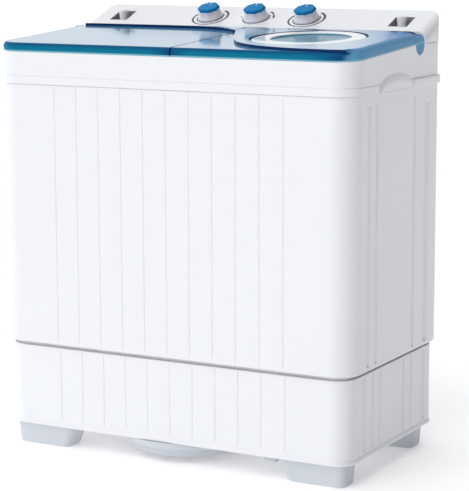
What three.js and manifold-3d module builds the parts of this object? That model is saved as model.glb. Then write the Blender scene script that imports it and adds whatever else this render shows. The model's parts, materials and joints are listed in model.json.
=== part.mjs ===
// Twin tub washer: wash tub on the left, spin tub on the right, console along the rear.
// Millimetres, +Z up, front towards -Y. The origin is on the floor under the middle of the washer.
import * as THREE from 'three';
import { mergeVertices } from 'three/addons/utils/BufferGeometryUtils.js';
import Module from 'manifold-3d';

const wasm = await Module();
wasm.setup();

// Driving dimensions
const GAP = 0.3;
const WALL = 3;
const cabinetWidth = 740;
const cabinetDepth = 410;
const cabinetCorner = 45;
const bandProud = 2.5;
const baseInset = 8;
const footHeight = 42;
const footLength = 134;
const footAt = { x: 285, front: -160, rear: 138 };
const baseTop = 204;
const cabinetTop = 696;
const rimFront = 756;
const rimSlope = 0.06;
const seatHeight = 771.7;
const consoleFront = 107.8;
const lidFront = 1.1;
const faceLow = 793.5;
const faceTopY = 196;
const faceTopZ = 828;
const lidThickness = 16;
const lidSeam = 11.5;
const seamGap = 1.6;
const raisedHeight = 5;
const hinge = { y: 81, z: 772, nose: 18.3, trough: 20.5, notch: 19, boss: 10, relief: 12.5, stemRear: 1 };
const raisedNose = 23.3;
const rearTrough = 25.4;
const hingePinRadius = 3;
const washOpening = { x0: -343, x1: -18, y0: -180, y1: 54, r: 42 };
const washTub = { x0: -351, x1: -10, y0: -188, y1: 62, r: 48, floor: 285, top: 741 };
const pulsatorAt = { x: -180, y: -62 };
const spinAt = { x: 195, y: -64 };
const washMotorAt = { x: -28, y: -78 };
const drainAt = { x: -45, y: 26 };
const brakeAt = { x: 255, y: -14 };
const spinOpeningRadius = 114;
const spinTub = { outer: 124, inner: 121, floor: 262, top: 741, flange: 130 };
const basket = { outer: 108, inner: 105.5, bottom: 340, top: 700 };
const ringAt = { x: 206, y: -41 };
const ringOuter = 104.5;
const ringInner = 73;
const windowShift = 10;
const ringThickness = 3.2;
const ringClearance = 4;
const ringRecess = 3.5;
const knobSpots = { wash_timer: -104, drain_selector: -2, spin_timer: 107 };
const knobY = 147;
const knobRadius = 25;
const inletX = 305;
const inlet = { half: 17.5, y0: 128, y1: 165, wall: 2, floor: 800.5, spoutY: 149, spoutTop: 819 };
const ribHeight = 15;
const ribProud = 1.5;
const deckRear = 203;
const consoleEnd = 18;

const halfWidth = cabinetWidth / 2;
const halfDepth = cabinetDepth / 2;
const bandX = halfWidth + bandProud;
const bandY = halfDepth + bandProud;
const bandCorner = cabinetCorner + bandProud;
const rimAngle = Math.atan(rimSlope);
const faceAngle = Math.atan2(faceTopZ - faceLow, faceTopY - consoleFront);
const FAR = 1000;

const rimHeight = (y) => rimFront + rimSlope * (y + bandY);
const faceHeight = (y) => faceLow + Math.tan(faceAngle) * (y - consoleFront);

// Materials
const finish = (color, roughness, metalness = 0, opacity = 1) => () =>
  new THREE.MeshStandardMaterial({ color, roughness, metalness, opacity, transparent: opacity < 1 });
const whiteShell = finish(0xeef0f3, 0.3);
const footPlastic = finish(0xcdd3d9, 0.4);
const blueLid = finish(0x2a86b4, 0.12, 0, 0.85);
const ringPlastic = finish(0xe4eef2, 0.25);
const capPlastic = finish(0x1a78be, 0.25);
const knobPlastic = finish(0xdfe2f0, 0.3);
const tubPlastic = finish(0xe6ecf0, 0.35);
const pulsatorPlastic = finish(0x4f9fd0, 0.3);
const greyPlastic = finish(0x5b6068, 0.5);
const rubber = finish(0x1c1c1e, 0.85);
const steel = finish(0xb8bcc0, 0.35, 0.9);
const castMetal = finish(0x8d9296, 0.5, 0.7);
const motorPaint = finish(0x3a3f45, 0.45, 0.5);

// Geometry helpers: every builder returns a closed BufferGeometry in place.
function cleaned(geometry) {
  const bare = geometry.index ? geometry.toNonIndexed() : geometry.clone();
  bare.deleteAttribute('normal');
  bare.deleteAttribute('uv');
  const merged = mergeVertices(bare, 1e-4);
  const kept = [];
  const index = merged.index.array;
  for (let i = 0; i < index.length; i += 3) {
    const [a, b, c] = [index[i], index[i + 1], index[i + 2]];
    if (a !== b && b !== c && c !== a) kept.push(a, b, c);
  }
  merged.setIndex(kept);
  return merged;
}

function solidOf(geometry) {
  const merged = cleaned(geometry);
  const mesh = new wasm.Mesh({
    numProp: 3,
    vertProperties: Float32Array.from(merged.attributes.position.array),
    triVerts: Uint32Array.from(merged.index.array),
  });
  return new wasm.Manifold(mesh);
}

function geometryOf(solid) {
  const mesh = solid.getMesh();
  const geometry = new THREE.BufferGeometry();
  geometry.setAttribute('position', new THREE.BufferAttribute(mesh.vertProperties, 3));
  geometry.setIndex(new THREE.BufferAttribute(mesh.triVerts, 1));
  return geometry;
}

const join = (...pieces) => geometryOf(pieces.map(solidOf).reduce((sum, next) => sum.add(next)));
const cut = (piece, ...tools) =>
  geometryOf(tools.map(solidOf).reduce((left, tool) => left.subtract(tool), solidOf(piece)));
const common = (...pieces) => geometryOf(pieces.map(solidOf).reduce((sum, next) => sum.intersect(next)));

function block(x0, x1, y0, y1, z0, z1) {
  const box = new THREE.BoxGeometry(x1 - x0, y1 - y0, z1 - z0);
  return box.translate((x0 + x1) / 2, (y0 + y1) / 2, (z0 + z1) / 2);
}

const ascend = (points, z0, z1) =>
  new THREE.ExtrudeGeometry(new THREE.Shape(points.map(([x, y]) => new THREE.Vector2(x, y))), {
    depth: z1 - z0,
    bevelEnabled: false,
  }).translate(0, 0, z0);

// A profile drawn in (y, z), extruded along X.
const acrossX = (profile, x0, x1) =>
  ascend(profile, x0, x1).applyMatrix4(
    new THREE.Matrix4().makeBasis(
      new THREE.Vector3(0, 1, 0),
      new THREE.Vector3(0, 0, 1),
      new THREE.Vector3(1, 0, 0),
    ),
  );

// An outline drawn in (x, z), extruded along Y.
const acrossY = (outline, y0, y1) =>
  ascend(outline.map(([x, z]) => [z, x]), y0, y1).applyMatrix4(
    new THREE.Matrix4().makeBasis(
      new THREE.Vector3(0, 0, 1),
      new THREE.Vector3(1, 0, 0),
      new THREE.Vector3(0, 1, 0),
    ),
  );

function roundedOutline(x0, x1, y0, y1, radii, steps = 5) {
  const [r00, r10, r11, r01] = Array.isArray(radii) ? radii : [radii, radii, radii, radii];
  const corners = [
    [x0 + r00, y0 + r00, r00, Math.PI],
    [x1 - r10, y0 + r10, r10, 1.5 * Math.PI],
    [x1 - r11, y1 - r11, r11, 0],
    [x0 + r01, y1 - r01, r01, 0.5 * Math.PI],
  ];
  return corners.flatMap(([cx, cy, r, start]) => {
    const count = r > 0 ? steps : 0;
    return Array.from({ length: count + 1 }, (_, i) => {
      const angle = start + (count ? (i / count) * (Math.PI / 2) : 0);
      return [cx + r * Math.cos(angle), cy + r * Math.sin(angle)];
    });
  });
}

const slab = (x0, x1, y0, y1, r, z0, z1, steps) => ascend(roundedOutline(x0, x1, y0, y1, r, steps), z0, z1);

// A profile of [radius, z] pairs turned about Z and stood at (x, y).
function turned(profile, x = 0, y = 0, segments = 20) {
  const points = profile.map(([r, z]) => new THREE.Vector2(r, z));
  if (THREE.ShapeUtils.area(points) < 0) points.reverse();
  return new THREE.LatheGeometry(points, segments).rotateX(Math.PI / 2).translate(x, y, 0);
}

const disc = (r, z0, z1, x = 0, y = 0, segments = 20) =>
  turned([[0, z0], [r, z0], [r, z1], [0, z1]], x, y, segments);
const collar = (inner, outer, z0, z1, x = 0, y = 0, segments = 20) =>
  turned([[inner, z0], [outer, z0], [outer, z1], [inner, z1], [inner, z0]], x, y, segments);
const rodX = (r, x0, x1, y, z, segments = 20) =>
  disc(r, x0, x1, 0, 0, segments).rotateY(Math.PI / 2).translate(0, y, z);
const rodY = (r, y0, y1, x, z, segments = 16) =>
  disc(r, y0, y1, 0, 0, segments).rotateX(-Math.PI / 2).translate(x, 0, z);

function hose(radius, steps, ...points) {
  const path = new THREE.CatmullRomCurve3(points.map((p) => new THREE.Vector3(...p)));
  const ring = Array.from({ length: 10 }, (_, i) => {
    const angle = (i / 10) * 2 * Math.PI;
    return new THREE.Vector2(radius * Math.cos(angle), radius * Math.sin(angle));
  });
  const options = { steps, extrudePath: path, bevelEnabled: false };
  return new THREE.ExtrudeGeometry(new THREE.Shape(ring), options);
}

const washer = new THREE.Group();

function add(name, material, geometry, target = washer) {
  const mesh = new THREE.Mesh(cleaned(geometry), material());
  mesh.name = name;
  target.add(mesh);
  return mesh;
}

// Region above the sloping rim and above the console seat, lowered by drop.
const aboveRim = (drop) =>
  acrossX(
    [
      [-FAR, rimHeight(-FAR) - drop],
      [consoleFront - GAP - drop * 0.75, rimHeight(consoleFront) - drop],
      [consoleFront - GAP - drop * 0.75, seatHeight - drop],
      [FAR, seatHeight - drop],
      [FAR, FAR],
      [-FAR, FAR],
    ],
    -FAR,
    FAR,
  );

// Base with its feet and the guard under the wash motor
function buildBase() {
  const x = halfWidth - baseInset;
  const y = halfDepth - baseInset;
  const r = cabinetCorner - baseInset;
  const tray = cut(
    slab(-x, x, -y, y, r, footHeight, baseTop),
    slab(-x + WALL, x - WALL, -y + WALL, y - WALL, r - WALL, footHeight + 4, FAR),
    disc(98, 0, baseTop, washMotorAt.x, washMotorAt.y, 24),
    rodY(14.5, 180, 220, 250, 88),
  );
  add('base', whiteShell, tray);
}

function buildFeet() {
  const innerSlant = 16;
  const outerSlant = 3;
  const foot = (x, y) => {
    const pad = slab(-footLength / 2, footLength / 2, -28, 28, 14, 0, footHeight - GAP, 3);
    const place = pad.attributes.position;
    const outward = Math.sign(x);
    for (let i = 0; i < place.count; i += 1) {
      const drop = 1 - place.getZ(i) / footHeight;
      const narrow = 1 - (drop * (innerSlant + outerSlant)) / footLength;
      const shift = (outward * drop * (innerSlant - outerSlant)) / 2;
      place.setXY(i, place.getX(i) * narrow + shift, place.getY(i) * (1 - 0.08 * drop));
    }
    return pad.translate(x, y, 0);
  };
  add('foot_front_left', footPlastic, foot(-footAt.x, footAt.front));
  add('foot_front_right', footPlastic, foot(footAt.x, footAt.front));
  add('foot_rear_left', footPlastic, foot(-footAt.x, footAt.rear));
  add('foot_rear_right', footPlastic, foot(footAt.x, footAt.rear));
}

function buildMotorGuard() {
  const { x, y } = washMotorAt;
  const top = footHeight - GAP;
  const dish = turned(
    [[0, 12], [104, 12], [113, 17], [115, 27], [124, 30], [126, 34], [126, top], [122, top],
      [122, 34], [111, 30], [109, 19], [103, 15], [0, 15]],
    x,
    y,
    28,
  );
  const slots = Array.from({ length: 6 }, (_, i) =>
    block(45, 92, -4, 4, 5, 20).rotateZ((i * Math.PI) / 3).translate(x, y, 0));
  add('motor_guard', footPlastic, cut(dish, ...slots));
}

// Cabinet shell, open at top and bottom, with a removable rear cover
function buildCabinet() {
  const shell = cut(
    slab(-halfWidth, halfWidth, -halfDepth, halfDepth, cabinetCorner, baseTop + GAP, cabinetTop),
    slab(
      -halfWidth + WALL, halfWidth - WALL, -halfDepth + WALL, halfDepth - WALL,
      cabinetCorner - WALL, 0, FAR,
    ),
    block(-300, 300, 190, 220, 262, 658),
    rodY(9.6, 190, 220, -332, 240),
  );
  add('cabinet', whiteShell, shell);
  const cover = cut(
    acrossY(roundedOutline(-310, 310, 252, 668, 12, 3), halfDepth + GAP, bandY - 0.2),
    ...Array.from({ length: 6 }, (_, i) => block(-90, 90, 200, 210, 330 + 16 * i, 336 + 16 * i)),
  );
  add('rear_cover', footPlastic, cover);
  const gland = turned(
    [[4.5, -9], [9, -9], [9, 0.4], [12, 0.4], [12, 2.2], [4.5, 2.2], [4.5, -9]], 0, 0, 12,
  ).rotateX(-Math.PI / 2).translate(-332, halfDepth, 240);
  add('cord_gland', rubber, gland);
}

// Deck: the sloping top moulding with its band, wells, hinge trough and side handles
function hingePosts() {
  const spans = [[-358.5, -352], [lidSeam - 3.2, lidSeam + 3.2], [352, 358.5]];
  return spans.map(([x0, x1]) => {
    const plate = join(
      rodX(hinge.boss, x0, x1, hinge.y, hinge.z, 20),
      block(x0, x1, hinge.y - hinge.boss, hinge.y + hinge.stemRear, hinge.z - hinge.trough - 1, hinge.z),
    );
    return cut(plate, rodX(hingePinRadius + GAP, x0 - 1, x1 + 1, hinge.y, hinge.z, 16));
  });
}

function sideHandle(side) {
  const arch = Array.from({ length: 9 }, (_, i) => {
    const t = i / 8;
    return [-102 + 156 * t, cabinetTop + 4 + 26 * Math.sin(Math.PI * t) ** 0.7];
  });
  const profile = [[54, cabinetTop + GAP], [-102, cabinetTop + GAP]].concat(arch);
  const bulge = acrossX(profile.reverse(), halfWidth - 1, bandX + 3.5);
  return side > 0 ? bulge : bulge.rotateZ(Math.PI).translate(0, -48, 0);
}

function buildDeck() {
  const ribX = bandX + ribProud;
  const skirt = cut(
    join(
      slab(-bandX, bandX, -bandY, deckRear, bandCorner, cabinetTop + GAP, 800, 4),
      slab(-ribX, ribX, -bandY, bandY, bandCorner, cabinetTop + GAP, cabinetTop + ribHeight, 4),
    ),
    aboveRim(0),
    cut(
      slab(-bandX + WALL, bandX - WALL, -bandY + WALL, deckRear - WALL, bandCorner - WALL, 0, 800, 4),
      aboveRim(4),
    ),
  );
  const { x0, x1, y0, y1, r } = washOpening;
  const wells = cut(
    join(
      slab(x0 - WALL, x1 + WALL, y0 - WALL, y1 + WALL, r + WALL, 735, 775),
      disc(spinOpeningRadius + WALL, 735, 775, spinAt.x, spinAt.y, 28),
    ),
    aboveRim(1),
  );
  const hangers = cut(
    join(
      cut(
        slab(washTub.x0 - 6, washTub.x1 + 6, washTub.y0 - 6, washTub.y1 + 6, washTub.r + 6, 741.3, 775),
        slab(washTub.x0 - 3, washTub.x1 + 3, washTub.y0 - 3, washTub.y1 + 3, washTub.r + 3, 0, FAR),
      ),
      collar(spinTub.flange - 3, spinTub.flange, 741.3, 775, spinAt.x, spinAt.y, 28),
    ),
    aboveRim(1),
  );
  const reach = bandX - WALL;
  const behind = block(-FAR, FAR, hinge.y, FAR, 0, FAR);
  const trough = cut(
    join(
      rodX(hinge.trough + WALL, -reach, reach, hinge.y, hinge.z, 24),
      common(rodX(rearTrough + WALL, -reach, reach, hinge.y, hinge.z, 24), behind),
    ),
    aboveRim(0.5),
  );
  const shell = cut(
    join(skirt, wells, hangers, trough, sideHandle(1), sideHandle(-1)),
    rodX(hinge.trough, -359, 359, hinge.y, hinge.z, 24),
    common(rodX(rearTrough, -359, 359, hinge.y, hinge.z, 24), behind),
    rodX(hinge.notch, 358.9, FAR, hinge.y, hinge.z, 24),
    rodX(hinge.notch, -FAR, -358.9, hinge.y, hinge.z, 24),
    slab(x0, x1, y0, y1, r, 700, 800),
    disc(spinOpeningRadius, 700, 800, spinAt.x, spinAt.y, 28),
    block(-20, 20, 130, 170, 760, 780),
  );
  add('deck', whiteShell, join(shell, ...hingePosts()));
}

function buildHingePins() {
  const spans = {
    hinge_pin_left: [-369, -352],
    hinge_pin_centre: [0, 23],
    hinge_pin_right: [352, 369],
  };
  for (const [name, [x0, x1]] of Object.entries(spans)) {
    add(name, steel, rodX(hingePinRadius, x0, x1, hinge.y, hinge.z, 16));
  }
}

// Lids: drawn flat, tilted onto the rim, with a round nose about the hinge line
const tilted = (geometry) => geometry.rotateX(rimAngle).translate(0, -bandY, rimFront + GAP + 0.1);

function lidShell(x0, x1, outerSide) {
  const edgeX = outerSide < 0 ? x0 : x1;
  const radii = outerSide < 0 ? [bandCorner, 0, 0, 0] : [0, bandCorner, 0, 0];
  const inner = radii.map((r) => Math.max(r - WALL, 0));
  const back = hinge.y + hinge.nose + bandY;
  const body = cut(
    tilted(slab(x0, x1, lidFront, back + 1, radii, 0, lidThickness, 4)),
    tilted(slab(x0 + WALL, x1 - WALL, lidFront + WALL, back - 38, inner, -5, lidThickness - WALL, 4)),
  );
  const inFront = block(-FAR, FAR, -FAR, hinge.y, 0, FAR);
  const low = common(body, join(inFront, rodX(hinge.nose, -FAR, FAR, hinge.y, hinge.z, 24)));
  const plan = slab(x0, x1, lidFront, back + 10, radii, 0, 50, 4);
  const raised = common(
    tilted(common(ascend(raisedOutline(outerSide), lidThickness - 6, lidThickness + raisedHeight), plan)),
    join(inFront, rodX(raisedNose, -FAR, FAR, hinge.y, hinge.z, 24)),
  );
  const earSpan = outerSide < 0 ? [edgeX, edgeX + 12] : [edgeX - 12, edgeX];
  const innerEar = outerSide < 0 ? [x1 - 10.5, x1 - 2] : [x0 + 2, x0 + 10.5];
  const withEars = join(
    low,
    raised,
    rodX(hinge.nose, ...earSpan, hinge.y, hinge.z, 24),
    rodX(9, ...innerEar, hinge.y, hinge.z, 20),
  );
  const post = outerSide < 0 ? [-360, -350.5] : [350.5, 360];
  const pinHole = hingePinRadius + GAP + 0.1;
  return cut(
    withEars,
    rodX(hinge.relief, ...post, hinge.y, hinge.z, 20),
    rodX(hinge.relief, lidSeam - 4.6, lidSeam + 4.6, hinge.y, hinge.z, 20),
    rodX(pinHole, ...(outerSide < 0 ? [-370, -350] : [350, 370]), hinge.y, hinge.z, 16),
    rodX(pinHole, lidSeam - 12.5, lidSeam + 12.5, hinge.y, hinge.z, 16),
  );
}

// Both lids have a raised field behind one S curve. It runs along the rear of the wash lid, crosses
// the seam and swings round the ring to the front corner of the spin lid.
function raisedOutline(side) {
  const bends = [
    [-357, 88], [-130, 86], [-70, 80], [-18, 59], [16, 30], [46, -28], [80, -92],
    [112, -136], [165, -172], [240, -194], [330, -200], [380, -190],
  ];
  const points = bends.map(([x, y]) => new THREE.Vector3(x, y, 0));
  const path = new THREE.CatmullRomCurve3(points, false, 'catmullrom', 0.4);
  const edge = path.getPoints(26).map((p) => [p.x, p.y + bandY]);
  const split = side < 0 ? lidSeam - seamGap : lidSeam + seamGap;
  const rear = hinge.y + 30 + bandY;
  const crossing = edge.find(([x]) => x > split)[1];
  if (side < 0) {
    const kept = edge.filter(([x]) => x < split - 4);
    return [...kept, [split, crossing + 4], [split, rear], [-357, rear]];
  }
  const kept = edge.filter(([x]) => x > split + 4);
  const ridgeEnd = hinge.y - 20 + bandY;
  return [[split, crossing], ...kept, [380, ridgeEnd], [357, ridgeEnd + 2], [357, rear], [split, rear]];
}

function buildLids() {
  const wash = lidShell(-bandX + GAP, lidSeam - seamGap, -1);
  add('wash_lid', blueLid, wash);
  const ringY = ringAt.y + bandY;
  const windowY = ringY + windowShift;
  const opening = tilted(disc(ringInner + 0.5, -5, 40, ringAt.x, windowY, 28));
  const top = lidThickness + raisedHeight - ringRecess;
  const recess = tilted(disc(ringOuter + ringClearance, top, 40, ringAt.x, ringY, 32));
  add('spin_lid', blueLid, cut(lidShell(lidSeam + seamGap, bandX - GAP, 1), opening, recess));
  add('lid_window', blueLid, tilted(disc(ringInner, top - 4, top, ringAt.x, windowY, 28)));
  const trim = turned(
    [[0, top + GAP], [ringOuter, top + GAP], [ringOuter - 2, top + ringThickness], [0, top + ringThickness]],
    ringAt.x, ringY, 28,
  );
  add('lid_ring', ringPlastic, tilted(cut(trim, disc(ringInner + 0.8, 0, 60, ringAt.x, windowY, 28))));
}

// Console housing along the rear, with its knobs, timers and water inlets
const onFace = (geometry, x, y) => geometry.rotateX(faceAngle).translate(x, y, faceHeight(y));

function consoleForm(inset, bottom) {
  const y0 = consoleFront + inset;
  const rear = deckRear - inset;
  const top = faceTopZ - inset;
  const reach = bandX - inset;
  const end = consoleEnd - inset;
  const profile = [[y0, bottom], [rear, bottom], [rear, top - 8], [faceTopY + 3, top], [y0, top]];
  const slope = acrossY(roundedOutline(-reach, reach, -150, -inset, [0, 0, end, end], 5), -150, 150);
  return common(
    acrossX(profile, -reach, reach),
    slab(-reach, reach, -reach, rear, bandCorner - inset, 700, 900, 6),
    acrossY(roundedOutline(-reach, reach, 700, top, [0, 0, 25, 25], 5), 0, 300),
    onFace(slope, 0, knobY),
  );
}

function buildConsole() {
  const holes = Object.values(knobSpots).map((x) => onFace(disc(7, -20, 20), x, knobY));
  const shell = inlet.wall + GAP;
  const pockets = [-inletX, inletX].map((x) => block(
    x - inlet.half - shell, x + inlet.half + shell, inlet.y0 - shell, inlet.y1 + shell,
    inlet.floor - inlet.wall - GAP, 900,
  ));
  const housing = cut(consoleForm(0, seatHeight + GAP), consoleForm(WALL, 700), ...holes, ...pockets);
  add('console', whiteShell, housing);
  for (const [name, x] of [['water_inlet_left', -inletX], ['water_inlet_right', inletX]]) {
    add(name, greyPlastic, buildInlet(x));
  }
}

// A pocket with a level floor in the sloping face, and a round spout standing in it
function buildInlet(x) {
  const { half, y0, y1, wall, floor, spoutY, spoutTop } = inlet;
  const outside = half + wall;
  const belowFace = acrossX(
    [[0, 700], [300, 700], [300, faceHeight(300)], [0, faceHeight(0)]], x - 50, x + 50,
  );
  const cup = cut(
    common(block(x - outside, x + outside, y0 - wall, y1 + wall, floor - wall, 850), belowFace),
    block(x - half, x + half, y0, y1, floor, 900),
  );
  const spout = turned(
    [[6, floor - 1], [10, floor - 1], [10, spoutTop - 2], [9, spoutTop], [6, spoutTop], [6, floor - 1]],
    x, spoutY, 16,
  );
  return cut(join(cup, spout), disc(6, 700, 900, x, spoutY, 16));
}

function buildKnobs() {
  const housings = { wash_timer: 24, drain_selector: 18, spin_timer: 22 };
  for (const [name, x] of Object.entries(knobSpots)) {
    const skirt = turned(
      [[0, -8], [5, -8], [5, 1], [knobRadius, 1], [knobRadius, 3], [21.5, 8], [20, 12], [0, 12]],
      0, 0, 20,
    );
    add(`${name}_knob`, knobPlastic, onFace(skirt, x, knobY));
    const cap = turned([[0, 12.3], [20, 12.3], [20, 20], [18, 24], [0, 24]], 0, 0, 8);
    add(`${name}_cap`, capPlastic, onFace(cap, x, knobY));
    const size = housings[name];
    add(`${name === 'drain_selector' ? 'selector_switch' : name}_unit`, greyPlastic,
      onFace(slab(-size, size, -20, 20, 3, -26, -8.5, 2), x, knobY));
  }
}

// Wash side: tub, pulsator drive, motor and belt
function buildWashTub() {
  const { x0, x1, y0, y1, r, floor, top } = washTub;
  const shell = cut(
    join(
      slab(x0, x1, y0, y1, r, floor - WALL, top),
      slab(x0 - 6, x1 + 6, y0 - 6, y1 + 6, r + 6, top - 3.5, top),
    ),
    slab(x0 + WALL, x1 - WALL, y0 + WALL, y1 - WALL, r - WALL, floor, FAR),
    disc(16.3, 0, FAR, pulsatorAt.x, pulsatorAt.y),
    disc(14, 0, FAR, drainAt.x, drainAt.y, 20),
  );
  const filterRest = cut(
    block(-232, -148, 53, y1 - 1, 540, 690),
    block(-222, -158, 50, 56, 552, 680),
  );
  add('wash_tub', tubPlastic, join(shell, filterRest));
  const frame = cut(block(-228, -152, 38, 52.6, 545, 700), block(-221, -159, 41, 60, 552, 690));
  add('lint_filter', pulsatorPlastic, frame);
  const grille = turned(
    [[0, 304], [20, 304], [25, 300], [26, 285.4], [23.5, 285.4], [22.5, 299], [19, 301.5], [0, 301.5]],
    drainAt.x, drainAt.y, 16,
  );
  const slots = Array.from({ length: 6 }, (_, i) =>
    block(6, 18, -1.5, 1.5, 290, 310).rotateZ((i * Math.PI) / 3).translate(drainAt.x, drainAt.y, 0));
  add('drain_grille', tubPlastic, cut(grille, ...slots));
}

function buildWashDrive() {
  const { x, y } = pulsatorAt;
  const dome = turned(
    [[8.3, 292], [104, 292], [110, 296], [109, 300], [70, 304], [40, 312], [28, 322], [12, 324],
      [12, 319], [8.3, 319], [8.3, 292]],
    x, y, 24,
  );
  const vanes = Array.from({ length: 6 }, (_, i) =>
    acrossX([[-5, 298], [5, 298], [1.8, 317], [-1.8, 317]], 34, 100)
      .rotateZ((i * Math.PI) / 3)
      .translate(x, y, 0));
  add('pulsator', pulsatorPlastic, join(dome, ...vanes));
  add('wash_shaft', steel, disc(8, 160, 318.8, x, y, 16));
  add('tub_seal', rubber, collar(8.4, 16, 281.4, 290, x, y, 16));
  add('gearbox', castMetal, turned(
    [[8.6, 214], [34, 214], [48, 222], [48, 262], [60, 266], [60, 272], [22, 276], [22, 281],
      [8.6, 281], [8.6, 214]],
    x, y, 16,
  ));
  const groove = (outer, z) => [
    [outer - 8, z + 4.5], [outer - 8, z + 11.5], [outer, z + 14], [outer, z + 16],
  ];
  add('driven_pulley', castMetal, turned(
    [[8.3, 168], [90, 168], [90, 170], ...groove(90, 168), [8.3, 184], [8.3, 168]], x, y, 28,
  ));
  const m = washMotorAt;
  add('motor_pulley', castMetal, turned(
    [[6.3, 168], [22, 168], [22, 170], ...groove(22, 168), [6.3, 184], [6.3, 168]], m.x, m.y, 16,
  ));
  add('drive_belt', rubber, cut(beltLoop(89.4, 21), beltLoop(83, 14.6, 1)));
  add('wash_motor_rotor', castMetal, turned(
    [[0, 48], [6, 48], [6, 76], [34, 76], [34, 136], [6, 136], [6, 190], [0, 190]], m.x, m.y, 20,
  ));
  add('wash_motor', motorPaint, motorHousing(62, 35, 66, 150, 7, m));
  add('cooling_fan', footPlastic, fanRotor(m));
  add('motor_bracket', steel, tripod(m, 50, 84, 74, 46.4, 150.3, 154.3));
}

function beltLoop(bigRadius, smallRadius, extra = 0) {
  const dx = washMotorAt.x - pulsatorAt.x;
  const dy = washMotorAt.y - pulsatorAt.y;
  const span = Math.hypot(dx, dy);
  const heading = Math.atan2(dy, dx);
  const lean = Math.acos((bigRadius - smallRadius) / span);
  const arc = (cx, cy, r, from, to, count) => Array.from({ length: count + 1 }, (_, i) => {
    const angle = heading + from + ((to - from) * i) / count;
    return [cx + r * Math.cos(angle), cy + r * Math.sin(angle)];
  });
  const outline = arc(pulsatorAt.x, pulsatorAt.y, bigRadius, lean, 2 * Math.PI - lean, 26)
    .concat(arc(washMotorAt.x, washMotorAt.y, smallRadius, -lean, lean, 8));
  return ascend(outline, 173 - extra, 179 + extra);
}

function motorHousing(outer, inner, z0, z1, bore, at) {
  return turned(
    [[bore, z0], [outer - 12, z0], [outer, z0 + 12], [outer, z1 - 12], [outer - 12, z1], [bore, z1],
      [bore, z1 - 5], [inner, z1 - 8], [inner, z0 + 8], [bore, z0 + 5], [bore, z0]],
    at.x, at.y, 20,
  );
}

function fanRotor(at) {
  const hub = collar(6.3, 16, 50, 60, at.x, at.y, 16);
  const blades = Array.from({ length: 6 }, (_, i) =>
    block(12, 62, -1.5, 1.5, -5, 5).rotateX(0.6).rotateZ((i * Math.PI) / 3).translate(at.x, at.y, 55));
  return join(hub, ...blades);
}

function tripod(at, hole, rim, reach, z0, z1, z2) {
  const legs = [0.5, 2.6, 4.7].map((angle) =>
    disc(6, z0, z2, at.x + reach * Math.cos(angle), at.y + reach * Math.sin(angle), 12));
  return join(collar(hole, rim, z1, z2, at.x, at.y, 24), ...legs);
}

function buildDrain() {
  const { x, y } = drainAt;
  const body = turned(
    [[0, 236], [20, 236], [20, 276], [24, 276], [24, 281.6], [15, 281.6], [15, 242], [0, 242]], x, y, 16,
  );
  add('drain_valve', footPlastic, cut(body, rodY(8, y, y + 40, x, 254, 16)));
  add('drain_plunger', rubber, turned(
    [[0, 250], [5, 250], [5, 274], [12.5, 276], [12.5, 283], [0, 283]], x, y, 20,
  ));
  const run = [
    [x, y + 20.5, 254], [x, y + 70, 250], [x + 70, 150, 180],
    [200, 158, 100], [248, 160, 88], [250, 169.5, 88],
  ];
  add('drain_hose', greyPlastic, hose(7.6, 18, ...run));
  const spigot = turned(
    [[9, 0], [14, 0], [14, 27.4], [18, 27.4], [18, 30.4], [14, 30.4], [14, 36], [9, 36], [9, 0]], 0, 0, 14,
  );
  add('drain_spigot', footPlastic, spigot.rotateX(-Math.PI / 2).translate(250, 170, 88));
}

// Spin side: outer tub, basket, press plate, shaft, brake and motor on soft mounts
function buildSpinTub() {
  const { x, y } = spinAt;
  const { outer, inner, floor, top, flange } = spinTub;
  const tub = turned(
    [[30, floor], [outer - 10, floor], [outer, floor + 10], [outer, top - 3.5], [flange, top - 3.5],
      [flange, top], [inner, top], [inner, floor + 12], [outer - 13, floor + 3], [30, floor + 3],
      [30, floor]],
    x, y, 28,
  );
  const brakePost = disc(4, 186, floor + 1, brakeAt.x, brakeAt.y, 12);
  add('spin_outer_tub', tubPlastic, join(tub, brakePost));
  add('spin_seal', rubber, turned(
    [[8, 228], [14, 228], [17, 234], [14, 240], [20, 246], [17, 252], [29.6, 258], [29.6, 268],
      [26, 268], [22, 260], [11, 252], [14, 246], [8, 240], [8, 228]],
    x, y, 16,
  ));
  const shell = turned(
    [[7.4, 340], [30, 340], [40, 346], [96, 346], [basket.outer, 358], [basket.outer, 690],
      [basket.outer + 2, 694], [basket.outer + 2, basket.top], [99, basket.top], [97, 696],
      [basket.inner, 690], [basket.inner, 360], [95, 349], [38, 349], [28, 366], [12, 372], [7.4, 372],
      [7.4, 340]],
    x, y, 28,
  );
  add('spin_basket', tubPlastic, shell);
  add('press_plate', pulsatorPlastic, cut(
    turned([[31, 370], [92, 370], [95, 373], [95, 377], [92, 380], [31, 380], [31, 370]], x, y, 24),
    ...Array.from({ length: 6 }, (_, i) =>
      disc(6, 360, 390, 62, 0, 6).rotateZ((i * Math.PI) / 3).translate(x, y, 0)),
  ));
}

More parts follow.
